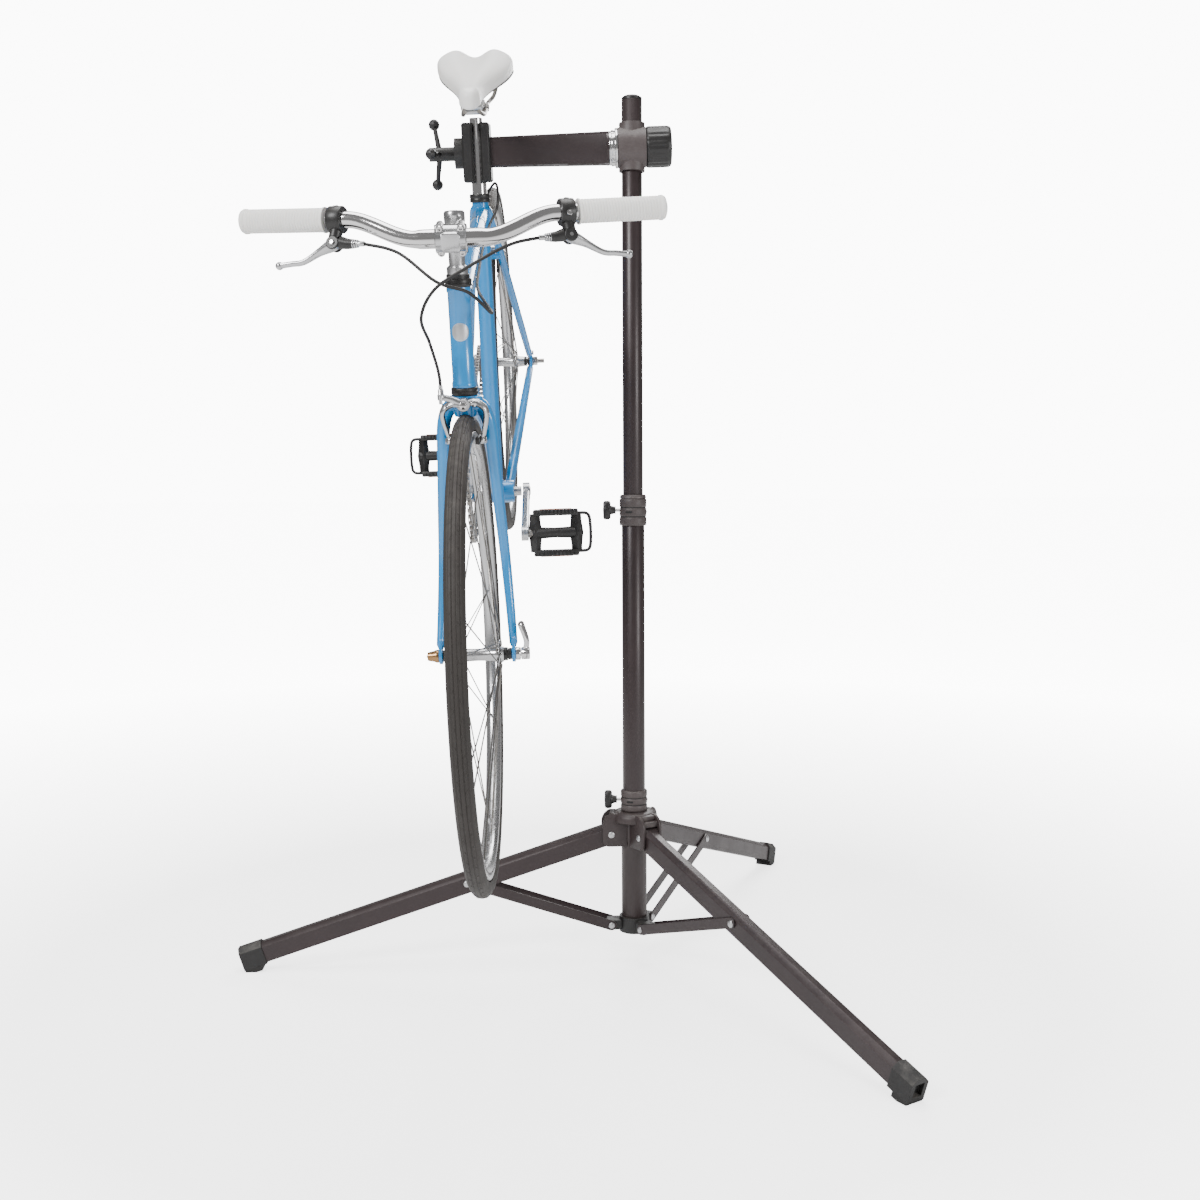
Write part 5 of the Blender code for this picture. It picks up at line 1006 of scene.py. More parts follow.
def make_seat_parts():
    low, high = 0.413, 0.650
    form = Form().use("chrome").lathe(facing(CRANK_AXLE + STEER * low, STEER), [
        (0.0100, 0), (0.0127, 0.001), (0.0127, high - low - 0.030), (0.0110, high - low - 0.024), (0.0109, high - low - 0.001),
        (0.0100, high - low)], 56)
    piece("seatpost_tube", form, "clamp", "seatpost")
    form = Form().use("black_plastic").lathe(facing(SEAT_TOP - STEER * 0.0140, STEER), [
        (0.0146, 0), (0.0172, 0.0002), (0.0178, 0.0012), (0.0178, 0.0060), (0.0173, 0.0066), (0.0173, 0.0078), (0.0178, 0.0084),
        (0.0178, 0.0130), (0.0172, 0.0140), (0.0146, 0.0142)], 48, closed_ring=True)
    back = SEAT_TOP - STEER * 0.0070 - AHEAD * 0.0203
    form.brick(axes_at(back, LEFT, AHEAD, STEER), (0.020, 0.010, 0.012), 0.0016, 0.002)
    form.use("chrome").tube([back - LEFT * 0.0130, back + LEFT * 0.0130], 0.0026, 20)
    form.screw(facing(back + LEFT * 0.0105, LEFT), 0.0042, 0.0046)
    form.hexagon(facing(back - LEFT * 0.0105, -LEFT), 0.0080, 0.0040)
    piece("seat_clamp_band", form, "clamp", "seat_clamp")


def make_saddle_rails():
    """Two round rails, the micro-adjust clamp that holds them, and its bolt."""
    at = CRANK_AXLE + STEER * (0.650 + 0.017)
    turn = BIKE.to_3x3()
    form = Form().use("steel")
    for side in (1, -1):
        route = [(-0.085, 0.036, 0.020), (-0.060, 0.030, 0.004), (-0.020, 0.020, 0.0), (0.045, 0.018, 0.0),
                 (0.085, 0.012, 0.014)]
        form.tube(smooth_path([at + turn @ Vector((x, side * y, z)) for x, y, z in route], 8), 0.0035, 20)
    form.use("alloy")
    block = axes_at(at, FORWARD, LEFT, UP)
    form.brick(block @ Matrix.Translation((0, 0, 0.0040)), (0.040, 0.034, 0.0080), 0.0018, 0.004, 5)
    form.brick(block @ Matrix.Translation((0, 0, -0.0042)), (0.038, 0.034, 0.0078), 0.0018, 0.004, 5)
    form.tube([at - LEFT * 0.017, at + LEFT * 0.017], 0.0082, 32)
    form.use("chrome").tube([at - LEFT * 0.0245, at + LEFT * 0.0245], 0.0032, 20)
    for side in (1, -1):
        form.hexagon(facing(at + LEFT * side * 0.0180, LEFT * side), 0.0130, 0.0055)
        form.lathe(facing(at + LEFT * side * 0.0165, LEFT * side), [(0.0085, 0), (0.0085, 0.0012), (0.004, 0.0014)], 28)
    return piece("saddle_clamp_rails", form, "clamp", "saddle_rails", smooth=40)


make_frame()
make_badge()
make_fork()
make_headset()
make_stem()
make_handlebar()
make_seat_parts()
make_saddle_rails()


# ---- drive ----
RING_R, COG_R, CHAINLINE, PITCH = 0.0890, 0.0330, 0.0430, 0.0127
PEDAL_TURN = math.radians(62)


def toothed(radius, teeth, depth, per_tooth=8):
    points = []
    for i in range(teeth * per_tooth):
        wave = 0.5 + 0.5 * math.cos(math.tau * i / per_tooth)
        r = radius - depth * 0.55 + depth * wave ** 0.8
        a = math.tau * i / (teeth * per_tooth)
        points.append((r * math.cos(a), r * math.sin(a)))
    return points


def annulus(form, at, outer, inner_r, low, high):
    """A flat ring: its outer edge is the outline, its inner edge round."""
    inner = [(inner_r * math.cos(math.atan2(y, x)), inner_r * math.sin(math.atan2(y, x))) for x, y in outer]
    rings = [form.ring(at, [(x, y, h) for x, y in points])
             for points, h in ((outer, low), (outer, high), (inner, high), (inner, low))]
    form._skin(rings, wrap=True)


def make_chainwheel():
    """The right crank with its spider, a 44-tooth ring and five bolts."""
    crank = refined("crank_right", "alloy", bevel=0.0012)
    form = Form().use("alloy")
    plane = facing(CRANK_AXLE - LEFT * CHAINLINE, -LEFT, FORWARD)
    annulus(form, plane, toothed(RING_R, 44, 0.0050), RING_R - 0.016, -0.0016, 0.0016)
    annulus(form, plane, [(c * (RING_R - 0.0118), s * (RING_R - 0.0118)) for c, s in
                          ((math.cos(math.tau * i / 96), math.sin(math.tau * i / 96)) for i in range(96))],
            RING_R - 0.0165, -0.0024, 0.0024)
    for k in range(5):
        a = math.tau * (k + 0.5) / 5
        seat = plane @ Vector(((RING_R - 0.0140) * math.cos(a), (RING_R - 0.0140) * math.sin(a), 0.0024))
        form.use("chrome").screw(facing(seat, -LEFT), 0.0046, 0.0016)
    ring = piece("chainring_teeth", form, "crank", smooth=40)
    cap = Form().use("chrome")
    for side in (1, -1):
        reach = max((v.co - CRANK_AXLE).dot(LEFT * side) for v in frame["nodes"]["crank_left" if side > 0 else "crank_right"].data.vertices
                    if ((v.co - CRANK_AXLE) - LEFT * (v.co - CRANK_AXLE).dot(LEFT)).length < 0.016)
        cap.screw(facing(CRANK_AXLE + LEFT * side * (reach - 0.0012), LEFT * side), 0.0080, 0.0028)
    piece("crank_bolts", cap, "crank")
    return crank, ring


def make_pedal(name, side):
    """A moulded cage round a tapered core, with toothed rails, amber reflectors and a toe loop."""
    start = pin(f"pedal_{name}_spin")
    x = FORWARD * math.cos(PEDAL_TURN) - UP * math.sin(PEDAL_TURN)
    place = axes_at(start, x, LEFT * side, x.cross(LEFT * side))
    form = Form().use("black_plastic")
    first, span, half = 0.006, 0.084, 0.041
    middle = first + span / 2
    form.tube([place @ Vector((0, y, 0)) for y in (0.0095, 0.016, 0.045, 0.074, 0.0885)],
              [0.0092, 0.0105, 0.0088, 0.0100, 0.0085], 32)
    for edge in (1, -1):
        form.brick(place @ Matrix.Translation((edge * (half - 0.0062), middle, 0)), (0.0110, span - 0.006, 0.0215),
                   0.0016, 0.003)
        for k in range(11):
            y = first + 0.010 + (span - 0.020) * k / 10
            for face in (1, -1):
                form.brick(place @ Matrix.Translation((edge * (half - 0.0050), y, face * 0.0108)), (0.0060, 0.0036, 0.0024), 0.0005)
        for y in (first + 0.0060, first + span - 0.0070):
            form.tube([place @ Vector((edge * (half - 0.008), y, 0)), place @ Vector((edge * 0.020, y, 0)), place @ Vector((0, y, 0))],
                      [0.0062, 0.0066, 0.0085], 4, section=[(0.85, -1.2, 0), (0.85, 1.2, 0), (-0.85, 1.2, 0), (-0.85, -1.2, 0)])
    loop = [(-0.0330, span + first - 0.004), (-0.0312, span + first + 0.012), (-0.0180, span + first + 0.0170),
            (0.0180, span + first + 0.0170), (0.0312, span + first + 0.012), (0.0330, span + first - 0.004)]
    form.tube(smooth_path([place @ Vector((a, b, 0)) for a, b in loop], 6), 0.0029, 16)
    form.use("amber")
    for edge in (1, -1):
        form.brick(place @ Matrix.Translation((edge * (half - 0.0010), middle, 0)), (0.0028, span * 0.66, 0.0130), 0.0006)
    form.use("steel").lathe(facing(start + LEFT * side * 0.0004, LEFT * side), [
        (0.0068, 0), (0.0070, 0.0006), (0.0070, 0.0040), (0.0058, 0.0046), (0.0058, 0.0100)], 28)
    form.hexagon(facing(start + LEFT * side * 0.0012, LEFT * side), 0.0135, 0.0050)
    form.use("black_plastic").lathe(facing(start + LEFT * side * (span + first - 0.002), LEFT * side),
                                    [(0.0085, 0), (0.0085, 0.003), (0.0070, 0.0045), (0.003, 0.0050)], 28)
    return piece("pedal_cage_" + name, form, "pedal_" + name, "pedal_" + name, smooth=35)


def make_chain():
    """Inner and outer plates on rollers, one pair to a pitch, round the chainring and the cog."""
    span = REAR_AXLE - CRANK_AXLE
    along = span.normalized()
    across = (-LEFT).cross(along).normalized()
    lean = math.asin((RING_R - COG_R) / span.length)
    centre = CRANK_AXLE - LEFT * CHAINLINE
    def on(radius, angle, shift):
        return centre + along * (shift + radius * math.cos(angle)) + across * radius * math.sin(angle)
    route = []
    open_angle = math.pi / 2 - lean
    for i in range(65):
        route.append(on(RING_R, open_angle + (math.tau - 2 * open_angle) * i / 64, 0))
    for i in range(33):
        route.append(on(COG_R, -open_angle + 2 * open_angle * i / 32, span.length))
    route.append(route[0])
    lengths = [(b - a).length for a, b in zip(route, route[1:])]
    total = sum(lengths)
    count = 2 * round(total / PITCH / 2)

    def at_length(s):
        s %= total
        for a, b, step in zip(route, route[1:], lengths):
            if s <= step:
                return a.lerp(b, s / step)
            s -= step
        return route[-1]
    pins = [at_length(total * i / count) for i in range(count)]
    form = Form()
    for i in range(count):
        a, b = pins[i], pins[(i + 1) % count]
        middle, tangent = (a + b) / 2, (b - a).normalized()
        place = facing(middle, -LEFT, tangent)
        half = (b - a).length / 2
        waist = [(half + 0.0036 * math.cos(t), 0.0036 * math.sin(t)) for t in (math.radians(-75 + 150 * k / 5) for k in range(6))]
        outline = waist + [(0, 0.0026)] + [(-x, -y) for x, y in waist] + [(0, -0.0026)]
        gap = 0.0023 if i % 2 else 0.0032
        form.use("steel" if i % 2 else "satin_alloy")
        for side in (1, -1):
            form.slab(place @ Matrix.Translation((0, 0, side * gap)), outline, -0.00045, 0.00045)
        form.use("steel").tube([a - LEFT * 0.0036, a + LEFT * 0.0036], 0.0021, 10)
        form.tube([a - LEFT * 0.0017, a + LEFT * 0.0017], 0.0036, 12)
    return piece("chain_links", form, "clamp", "chain", smooth=40)


def make_freewheel():
    form = Form().use("steel")
    plane = facing(REAR_AXLE - LEFT * CHAINLINE, -LEFT, FORWARD)
    annulus(form, plane, toothed(COG_R, 16, 0.0052), 0.0172, -0.0012, 0.0012)
    reach = [-(v.co - REAR_AXLE).dot(LEFT) - CHAINLINE for v in frame["nodes"]["freewheel"].data.vertices]
    low, high = min(reach), max(reach)
    form.lathe(plane, [(0.0092, low), (0.0168, low), (0.0176, low + 0.0008), (0.0176, -0.0020), (0.0250, -0.0016), (0.0250, 0.0016),
                       (0.0176, 0.0022), (0.0176, high - 0.0010), (0.0168, high), (0.0150, high), (0.0148, high - 0.0010),
                       (0.0100, high - 0.0010), (0.0092, high - 0.0006)], 56, closed_ring=True)
    return piece("freewheel_cog", form, "freewheel", "freewheel", smooth=35)


make_chainwheel()
for name, side in (("left", 1), ("right", -1)):
    make_pedal(name, side)
make_chain()
make_freewheel()


# ---- brake levers, calipers and cables ----
LEVER_CLAMP_AT, GRIP_LENGTH, CABLE_R = 0.152, 0.120, 0.0023
BIKE_TURN = BIKE.to_3x3()
LEVER_DOWN = BIKE_TURN @ Vector((0.62, 0, -0.785))


def lever_frame(side):
    """The middle of a lever's band, the way out along the bar, its pivot and the pivot's axis."""
    middle = bar_point(side * LEVER_CLAMP_AT)
    across = (bar_point(side * (LEVER_CLAMP_AT + 0.01)) - bar_point(side * (LEVER_CLAMP_AT - 0.01))).normalized()
    pivot = middle + LEVER_DOWN * 0.0330 + LEFT * side * 0.004
    return middle, across, pivot, across.cross(LEVER_DOWN).normalized()


def make_lever(name, side):
    """The band and bracket that hold a lever, then the forged lever itself, each on its own body."""
    middle, across, pivot, normal = lever_frame(side)
    form = Form().use("black_plastic")
    form.lathe(facing(middle - across * 0.0100, across), [
        (0.0116, 0), (0.0172, 0.0002), (0.0180, 0.0014), (0.0180, 0.0186), (0.0172, 0.0198), (0.0116, 0.0200)],
        48, closed_ring=True)
    form.tube([middle + LEVER_DOWN * 0.010, middle.lerp(pivot, 0.6), pivot - LEVER_DOWN * 0.006], [0.0098, 0.0086, 0.0082], 32)
    for lift in (1, -1):
        form.lathe(facing(pivot + normal * lift * 0.0053, normal * lift), [
            (0.0028, 0), (0.0086, 0), (0.0090, 0.0006), (0.0090, 0.0028), (0.0080, 0.0037), (0.0028, 0.0038)], 32, closed_ring=True)
    form.tube([pivot - LEVER_DOWN * 0.002 - across * 0.0090, pivot - across * 0.020, pivot - across * 0.0268], [0.0086, 0.0070, 0.0062], 28)
    form.use("chrome").screw(facing(middle + LEVER_DOWN * 0.0070 - normal * 0.0168, -normal), 0.0040, 0.0036)
    form.brick(facing(middle - LEVER_DOWN * 0.0178, -LEVER_DOWN, across), (0.0070, 0.0120, 0.0010), 0.0003, 0.002)
    form.use("alloy")
    for i in range(3):
        form.lathe(facing(pivot - across * (0.0262 + 0.0030 * i), -across), [
            (0.0030, 0), (0.0060 - 0.0004 * i, 0.0002), (0.0062 - 0.0004 * i, 0.0010), (0.0060 - 0.0004 * i, 0.0020),
            (0.0046, 0.0022), (0.0030, 0.0030)], 20, closed_ring=True)
    form.lathe(facing(pivot - across * 0.0350, -across), [(0.0012, 0), (0.0036, 0), (0.0036, 0.0070), (0.0030, 0.0080), (0.0012, 0.0080)],
               20, closed_ring=True)
    piece("lever_bracket_" + name, form, "steering", "lever_clamp_" + name, smooth=40)

    reach = middle + across * (GRIP_LENGTH * 0.71) + LEVER_DOWN * 0.062
    path = smooth_path([pivot, pivot + across * 0.020 + LEVER_DOWN * 0.010, pivot + across * 0.045 + LEVER_DOWN * 0.024,
                        pivot.lerp(reach, 0.78) + LEVER_DOWN * 0.004, reach], 9)
    form = Form().use("alloy")
    section = [(0.80 * math.cos(math.tau * i / 20), 1.0 * math.sin(math.tau * i / 20), 0) for i in range(20)]
    count = len(path) - 1
    radii = [0.0042 + 0.0052 * math.exp(-(i / count / 0.26) ** 2) + 0.0006 * max(0, i / count - 0.9) * 10 for i in range(count + 1)]
    form.tube(path, radii, section=section)
    form.ball(reach, 0.0056, steps=20)
    form.lathe(facing(pivot - normal * 0.0046, normal), [(0.0024, 0), (0.0076, 0), (0.0080, 0.0006), (0.0080, 0.0086),
                                                         (0.0076, 0.0092), (0.0024, 0.0092)], 36, closed_ring=True)
    form.use("chrome").tube([pivot - normal * 0.0094, pivot + normal * 0.0094], 0.0026, 20)
    form.screw(facing(pivot + normal * 0.0090, normal), 0.0040, 0.0018)
    piece("lever_blade_" + name, form, "brake_lever_" + name, "brake_lever_" + name, smooth=45)


TRACK = WHEEL_R - 2 * TYRE_R - 0.0075
CALIPERS = {
    "front": (pin("front_brake_left_close"), STEER, AHEAD, FRONT_AXLE, "front_wheel", 0.0170),
    "rear": (pin("rear_brake_left_close"), None, way("rear_brake_left_close"), REAR_AXLE, "rear_wheel", 0.0160),
}


def caliper_frame(end):
    pivot, up, out, axle, _, bolt = CALIPERS[end]
    if end == "rear":
        up = (pivot - out * 0.0063 - axle).normalized()
        rim_middle = axle + (pivot + out * 0.024 - axle).normalized() * TRACK
    else:
        rim_middle = axle + (pivot - axle).normalized() * TRACK
    return pivot, up, out, rim_middle, axle, bolt


def make_caliper(end):
    """Two forged arms about one bolt, with pads, springs, a cable anchor, an adjuster and a release cam."""
    pivot, up, out, rim_middle, axle, bolt = caliper_frame(end)
    spoke = (rim_middle - axle).normalized()
    for name, side in (("left", 1), ("right", -1)):
        seat = pivot + out * (0.0095 if side > 0 else 0.0190)
        pad_at = rim_middle + LEFT * side * (RIM_WIDTH / 2 + 0.0030)
        hip = seat + LEFT * side * 0.030 - up * 0.010
        knee = pad_at + LEFT * side * 0.0120 + up * 0.012
        path = smooth_path([seat + up * 0.001, seat + LEFT * side * 0.016 + up * 0.002, hip, knee, pad_at + LEFT * side * 0.0085], 7)
        section = [(1.0 * math.cos(math.tau * i / 22), 0.62 * math.sin(math.tau * i / 22), 0) for i in range(22)]
        count = len(path) - 1
        form = Form().use("alloy").tube(path, [0.0070 - 0.0026 * i / count for i in range(count + 1)], section=section)
        form.lathe(facing(seat - out * 0.0043, out), [(0.0032, 0), (0.0084, 0), (0.0090, 0.0008), (0.0090, 0.0078), (0.0084, 0.0086),
                                                      (0.0032, 0.0086)], 36, closed_ring=True)
        form.lathe(facing(pad_at + LEFT * side * 0.0060, LEFT * side),
                   [(0.0052, 0), (0.0058, 0.0008), (0.0058, 0.0046), (0.0050, 0.0054)], 24)
        form.use("chrome").hexagon(facing(pad_at + LEFT * side * 0.0112, LEFT * side), 0.0090, 0.0040)
        form.use("black_plastic").brick(axes_at(pad_at + LEFT * side * 0.0038, spoke.cross(LEFT), spoke, LEFT), (0.046, 0.0106, 0.0042),
                                        0.0010, 0.003)
        form.use("jaw_rubber")
        for k in range(5):
            form.brick(axes_at(pad_at + LEFT * side * 0.0012 + spoke.cross(LEFT) * (k - 2) * 0.0089, spoke.cross(LEFT), spoke, LEFT),
                       (0.0080, 0.0096, 0.0024), 0.0006)
        if side < 0:
            horn = seat - LEFT * 0.030 + up * 0.012
            form.use("alloy").tube([seat, seat.lerp(horn, 0.5) + up * 0.002, horn], [0.0062, 0.0050, 0.0044], 24)
            form.lathe(facing(horn - up * 0.0040, up), [(0.0015, 0), (0.0050, 0), (0.0052, 0.0030), (0.0052, 0.0070), (0.0040, 0.0082),
                                                        (0.0040, 0.0140), (0.0033, 0.0148), (0.0015, 0.0148)], 24, closed_ring=True)
            form.use("chrome").tube([pivot - out * bolt, seat + out * 0.008], 0.0029, 20)
            form.hexagon(facing(seat + out * 0.0045, out), 0.0100, 0.0048)
            form.lathe(facing(seat + out * 0.0092, out), [(0.0042, 0), (0.0040, 0.0020), (0.0020, 0.0028)], 20)
            form.use("satin_alloy").tube([horn + up * 0.002, horn + up * 0.002 + out * 0.010], 0.0026, 16)
            form.tube([horn + up * 0.002 + out * 0.009, horn - up * 0.008 + out * 0.0125], [0.0030, 0.0022], 14)
        else:
            anchor = seat + LEFT * 0.014 + up * 0.001
            form.use("chrome").hexagon(facing(anchor + out * 0.0048, out), 0.0080, 0.0040)
            form.use("steel").tube(smooth_path([seat - out * 0.0060 - up * 0.004, seat - out * 0.0062 + LEFT * 0.016 - up * 0.001,
                                                hip - out * 0.0050, knee - out * 0.0046], 6), 0.0010, 8)
        piece(f"{end}_caliper_{name}", form, f"{end}_brake_{name}", f"{end}_brake_arm_{name}", smooth=45)


def make_cables():
    """Black housings with alloy ferrules, and the bare wire below each adjuster."""
    routes = {}
    pivot, up, out, _, _, _ = caliper_frame("front")
    horn = pivot + out * 0.0150 - LEFT * 0.030 + up * 0.012
    bend = BAR_CLAMP

    def near_bar(x, y, z):
        return bend + BIKE_TURN @ Vector((x, y, z))

    left, right = (lever_frame(side)[2] for side in (1, -1))
    routes["front"] = [
        left + BIKE_TURN @ Vector((-0.002, -0.032, 0.0)), left + BIKE_TURN @ Vector((0.020, -0.080, -0.002)),
        near_bar(0.060, 0.020, -0.020),
        near_bar(0.066, -0.022, -0.045), near_bar(0.060, -0.043, -0.085),
        horn + STEER * 0.075 + AHEAD * 0.012 - LEFT * 0.010, horn + STEER * 0.035 - LEFT * 0.002, horn + STEER * 0.0055]
    side = LEFT * (0.0127 + CABLE_R + 0.0012)
    run = TOP_TUBE_SEAT - TOP_TUBE_HEAD
    pivot, up, out, _, _, _ = caliper_frame("rear")
    horn = pivot + out * 0.0150 - LEFT * 0.030 + up * 0.012
    routes["rear"] = [
        right + BIKE_TURN @ Vector((-0.002, 0.032, 0.0)), right + BIKE_TURN @ Vector((0.024, 0.085, -0.006)),
        near_bar(0.050, -0.020, -0.040),
        near_bar(0.040, 0.020, -0.060), near_bar(0.0, 0.046, -0.105), TOP_TUBE_HEAD + run * 0.16 + side * 1.25,
        TOP_TUBE_HEAD + run * 0.35 + side, TOP_TUBE_HEAD + run * 0.65 + side, TOP_TUBE_HEAD + run * 0.86 + side * 1.15 - UP * 0.004,
        TOP_TUBE_SEAT + BIKE_TURN @ Vector((-0.010, 0.030, 0.010)), TOP_TUBE_SEAT + BIKE_TURN @ Vector((-0.050, 0.024, 0.034)),
        horn + up * 0.060 + out * 0.012 + LEFT * 0.018, horn + up * 0.028 + LEFT * 0.002, horn + up * 0.0055]
    for end, route in routes.items():
        path = smooth_path(route, 14)
        form = Form().use("rubber").tube(path, CABLE_R, 20)
        form.use("satin_alloy")
        for tip, inward in ((path[0], path[3]), (path[-1], path[-4])):
            line = (inward - tip).normalized()
            form.lathe(facing(tip - line * 0.0015, line),
                       [(0.0012, 0), (0.0028, 0.0002), (0.0030, 0.0010), (0.0030, 0.0105), (0.0026, 0.0115), (0.0022, 0.0116)], 20)
        piece(end + "_cable_housing", form, "steering" if end == "front" else "clamp", end + "_brake_cable")
        pivot, up, out, _, _, _ = caliper_frame(end)
        top = pivot + out * 0.0150 - LEFT * 0.030 + up * 0.012
        foot = pivot + out * 0.0120 - LEFT * 0.0290 - up * 0.018
        wire = Form().use("steel").tube([top + up * 0.006, top.lerp(foot, 0.5), foot], 0.0008, 8)
        wire.use("satin_alloy").tube([foot + up * 0.001, foot - up * 0.010], [0.0013, 0.0011], 10)
        piece(end + "_cable_wire", wire, end + "_brake_right", slot="steel")


def make_axle_ends():
    out = FRONT_HALF + DROPOUT + 0.0003
    form = Form().use("chrome").tube([FRONT_AXLE - LEFT * (out + 0.018), FRONT_AXLE + LEFT * (out + 0.020)], 0.0022, 20)
    form.lathe(facing(FRONT_AXLE + LEFT * out, LEFT), [(0.0024, 0), (0.0088, 0), (0.0095, 0.0008), (0.0095, 0.0058), (0.0085, 0.0070),
                                                      (0.0024, 0.0070)], 40, closed_ring=True)
    form.use("bronze").lathe(facing(FRONT_AXLE - LEFT * out, -LEFT), [
        (0.0022, 0), (0.0092, 0), (0.0095, 0.0010), (0.0095, 0.0040), (0.0080, 0.0075), (0.0068, 0.0140),
        (0.0060, 0.0166), (0.0022, 0.0170)],
        36, closed_ring=True)
    piece("front_skewer_rod", form, "steering", "front_skewer")
    hinge = FRONT_AXLE + LEFT * (out + 0.0140)
    form = Form().use("chrome").lathe(facing(hinge - LEFT * 0.0062, LEFT), [
        (0.0026, 0), (0.0082, 0), (0.0090, 0.0010), (0.0090, 0.0114), (0.0080, 0.0124), (0.0026, 0.0124)], 36, closed_ring=True)
    path = smooth_path([hinge + STEER * 0.004, hinge + STEER * 0.020 + LEFT * 0.002, hinge + STEER * 0.048 - LEFT * 0.006], 10)
    section = [(1.35 * math.cos(math.tau * i / 20), 0.62 * math.sin(math.tau * i / 20), 0) for i in range(20)]
    count = len(path) - 1
    radii = [0.0044 - 0.0006 * math.sin(math.pi * i / count) + (0 if i < count else -0.0020) for i in range(count + 1)]
    form.tube(path, radii, section=section)
    piece("release_lever", form, "quick_release", "quick_release_lever")
    form = Form()
    for side in (1, -1):
        low, high = spin_extent("rear_hub")
        reach = high if side > 0 else -low
        face = REAR_HALF + DROPOUT
        form.use("steel").tube([REAR_AXLE + LEFT * side * (REAR_HALF - 0.010), REAR_AXLE + LEFT * side * (reach - 0.0002)], 0.0044, 24)
        form.use("chrome").hexagon(facing(REAR_AXLE + LEFT * side * (face + 0.0012), LEFT * side), 0.0150, 0.0090, 0.0010)
        form.lathe(facing(REAR_AXLE + LEFT * side * (face + 0.0002), LEFT * side), [
            (0.0046, 0), (0.0098, 0), (0.0100, 0.0005), (0.0100, 0.0010), (0.0046, 0.0012)], 36, closed_ring=True)
    piece("rear_axle_nuts", form, "rear_wheel", slot="steel")


for name, side in (("left", 1), ("right", -1)):
    make_lever(name, side)
for end in CALIPERS:
    make_caliper(end)
make_cables()
make_axle_ends()


# ---- stand ----
LEG_AZIMUTHS = {"left": 182.5, "right": 302.5, "rear": 62.5}
LEG_PIVOT_Z = pin("leg_left_fold").z
LEG_WIDTH, LEG_HEIGHT = 0.028, 0.036
LEG_SLOPE, BRACE_SPAN, STRAP_FACE = math.radians(18.12), 0.272, 0.0034


def mast_at(z):
    return Matrix.Translation((MAST.x, MAST.y, z))


def make_mast_tubes():
    for node, radius, body in (("main_tube", 0.0200, "base"), ("upper_tube", 0.0175, "mast_upper")):
        low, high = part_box(node)
        tall = high.z - low.z
        inner = radius - 0.0019
        form = Form().use("anodised").lathe(mast_at(low.z), [
            (inner, 0), (radius - 0.0004, 0), (radius, 0.0005), (radius, tall * 0.5), (radius, tall - 0.0005), (radius - 0.0004, tall),
            (inner, tall)], 72, closed_ring=True)
        piece(node + "_drawn", form, body, node)


def collar(form, low, high, ribs=3):
    """A moulded collar: ribs round it, with near-black rings as painted shade in the slots between them, at the given
    heights.
    """
    pitch = (high - low) / ribs
    profile = [(0.0202, low)]
    for i in range(ribs):
        a, b = low + pitch * i, low + pitch * (i + 1)
        profile += [(0.0225, a + 0.0002), (0.0236, a + 0.0014), (0.0238, (a + b) / 2 - 0.0020), (0.0238, (a + b) / 2 + 0.0020),
                    (0.0236, b - 0.0022), (0.0226, b - 0.0010)]
    form.use("collar_plastic").lathe(mast_at(0), profile + [(0.0202, high)], 64, closed_ring=True)
    # painted shade: near-black rings stand for the shade in the slots between the ribs
    form.use("painted_shade_slot")
    for i in range(1, ribs):
        form.lathe(mast_at(low + pitch * i), [(0.0205, -0.0009), (0.0229, -0.0009), (0.0229, 0.0007), (0.0205, 0.0007)],
                   64, closed_ring=True)
    for azimuth in (250, 10, 130):  # moulded windows in the middle rib
        a = math.radians(azimuth)
        outward = Vector((math.cos(a), math.sin(a), 0))
        centre = MAST + outward * 0.0236 + Z * ((low + high) / 2 if ribs > 2 else low + pitch * 0.5)
        # painted shade: a near-black block stands for the shade inside each window
        form.use("painted_shade_slot").brick(facing(centre, outward, outward.cross(Z)), (0.0120, 0.0036, 0.0010), 0.0003, 0.0015)


def make_wing_knob(node, body):
    """A three-lobed knob with a turned shank, its flats facing the user."""
    low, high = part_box(node)
    axis_at = pin(node + "_turn")
    outer = low.x
    form = Form().use("black_plastic")
    place = facing(Vector((outer, axis_at.y, axis_at.z)), X, Z)
    outline = []
    for i in range(60):
        a = math.tau * i / 60
        r = 0.0095 + 0.0075 * math.cos(a) ** 4
        outline.append((r * math.cos(a) * 0.98, r * math.sin(a) * 0.86))
    form.slab(place, outline, 0.0, 0.0135, 0.0040)
    form.lathe(place @ Matrix.Translation((0, 0, 0.0110)), [(0.0090, 0), (0.0080, 0.003), (0.0064, 0.0090), (0.0068, 0.0112)], 28)
    form.use("chrome").tube([place @ Vector((0, 0, 0.018)), Vector((high.x, axis_at.y, axis_at.z))], 0.0030, 16)
    form.use("black_plastic").lathe(place @ Matrix.Rotation(math.pi, 4, "X"), [(0.0050, -0.001), (0.0046, 0.0002), (0.0020, 0.0004)], 24)
    return piece(node + "_wing", form, body, node, smooth=40)


def knob_boss(form, knob):
    """The short boss that a wing knob's screw goes through."""
    boss = pin(knob + "_turn")
    form.lathe(facing(Vector((MAST.x - 0.019, boss.y, boss.z)), -X), [(0.0100, 0), (0.0096, 0.0046), (0.0085, 0.0050)], 28)


def make_mid_collar():
    low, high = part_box("mid_collar")
    form = Form()
    collar(form, low.z, high.z - 0.006)
    form.use("collar_plastic").lathe(
        mast_at(high.z - 0.0062), [(0.0178, 0), (0.0232, 0), (0.0228, 0.0040), (0.0210, 0.0062), (0.0178, 0.0062)],
        64, closed_ring=True)
    knob_boss(form, "mid_knob")
    piece("mid_collar_ribs", form, "base", "mid_collar", smooth=40)


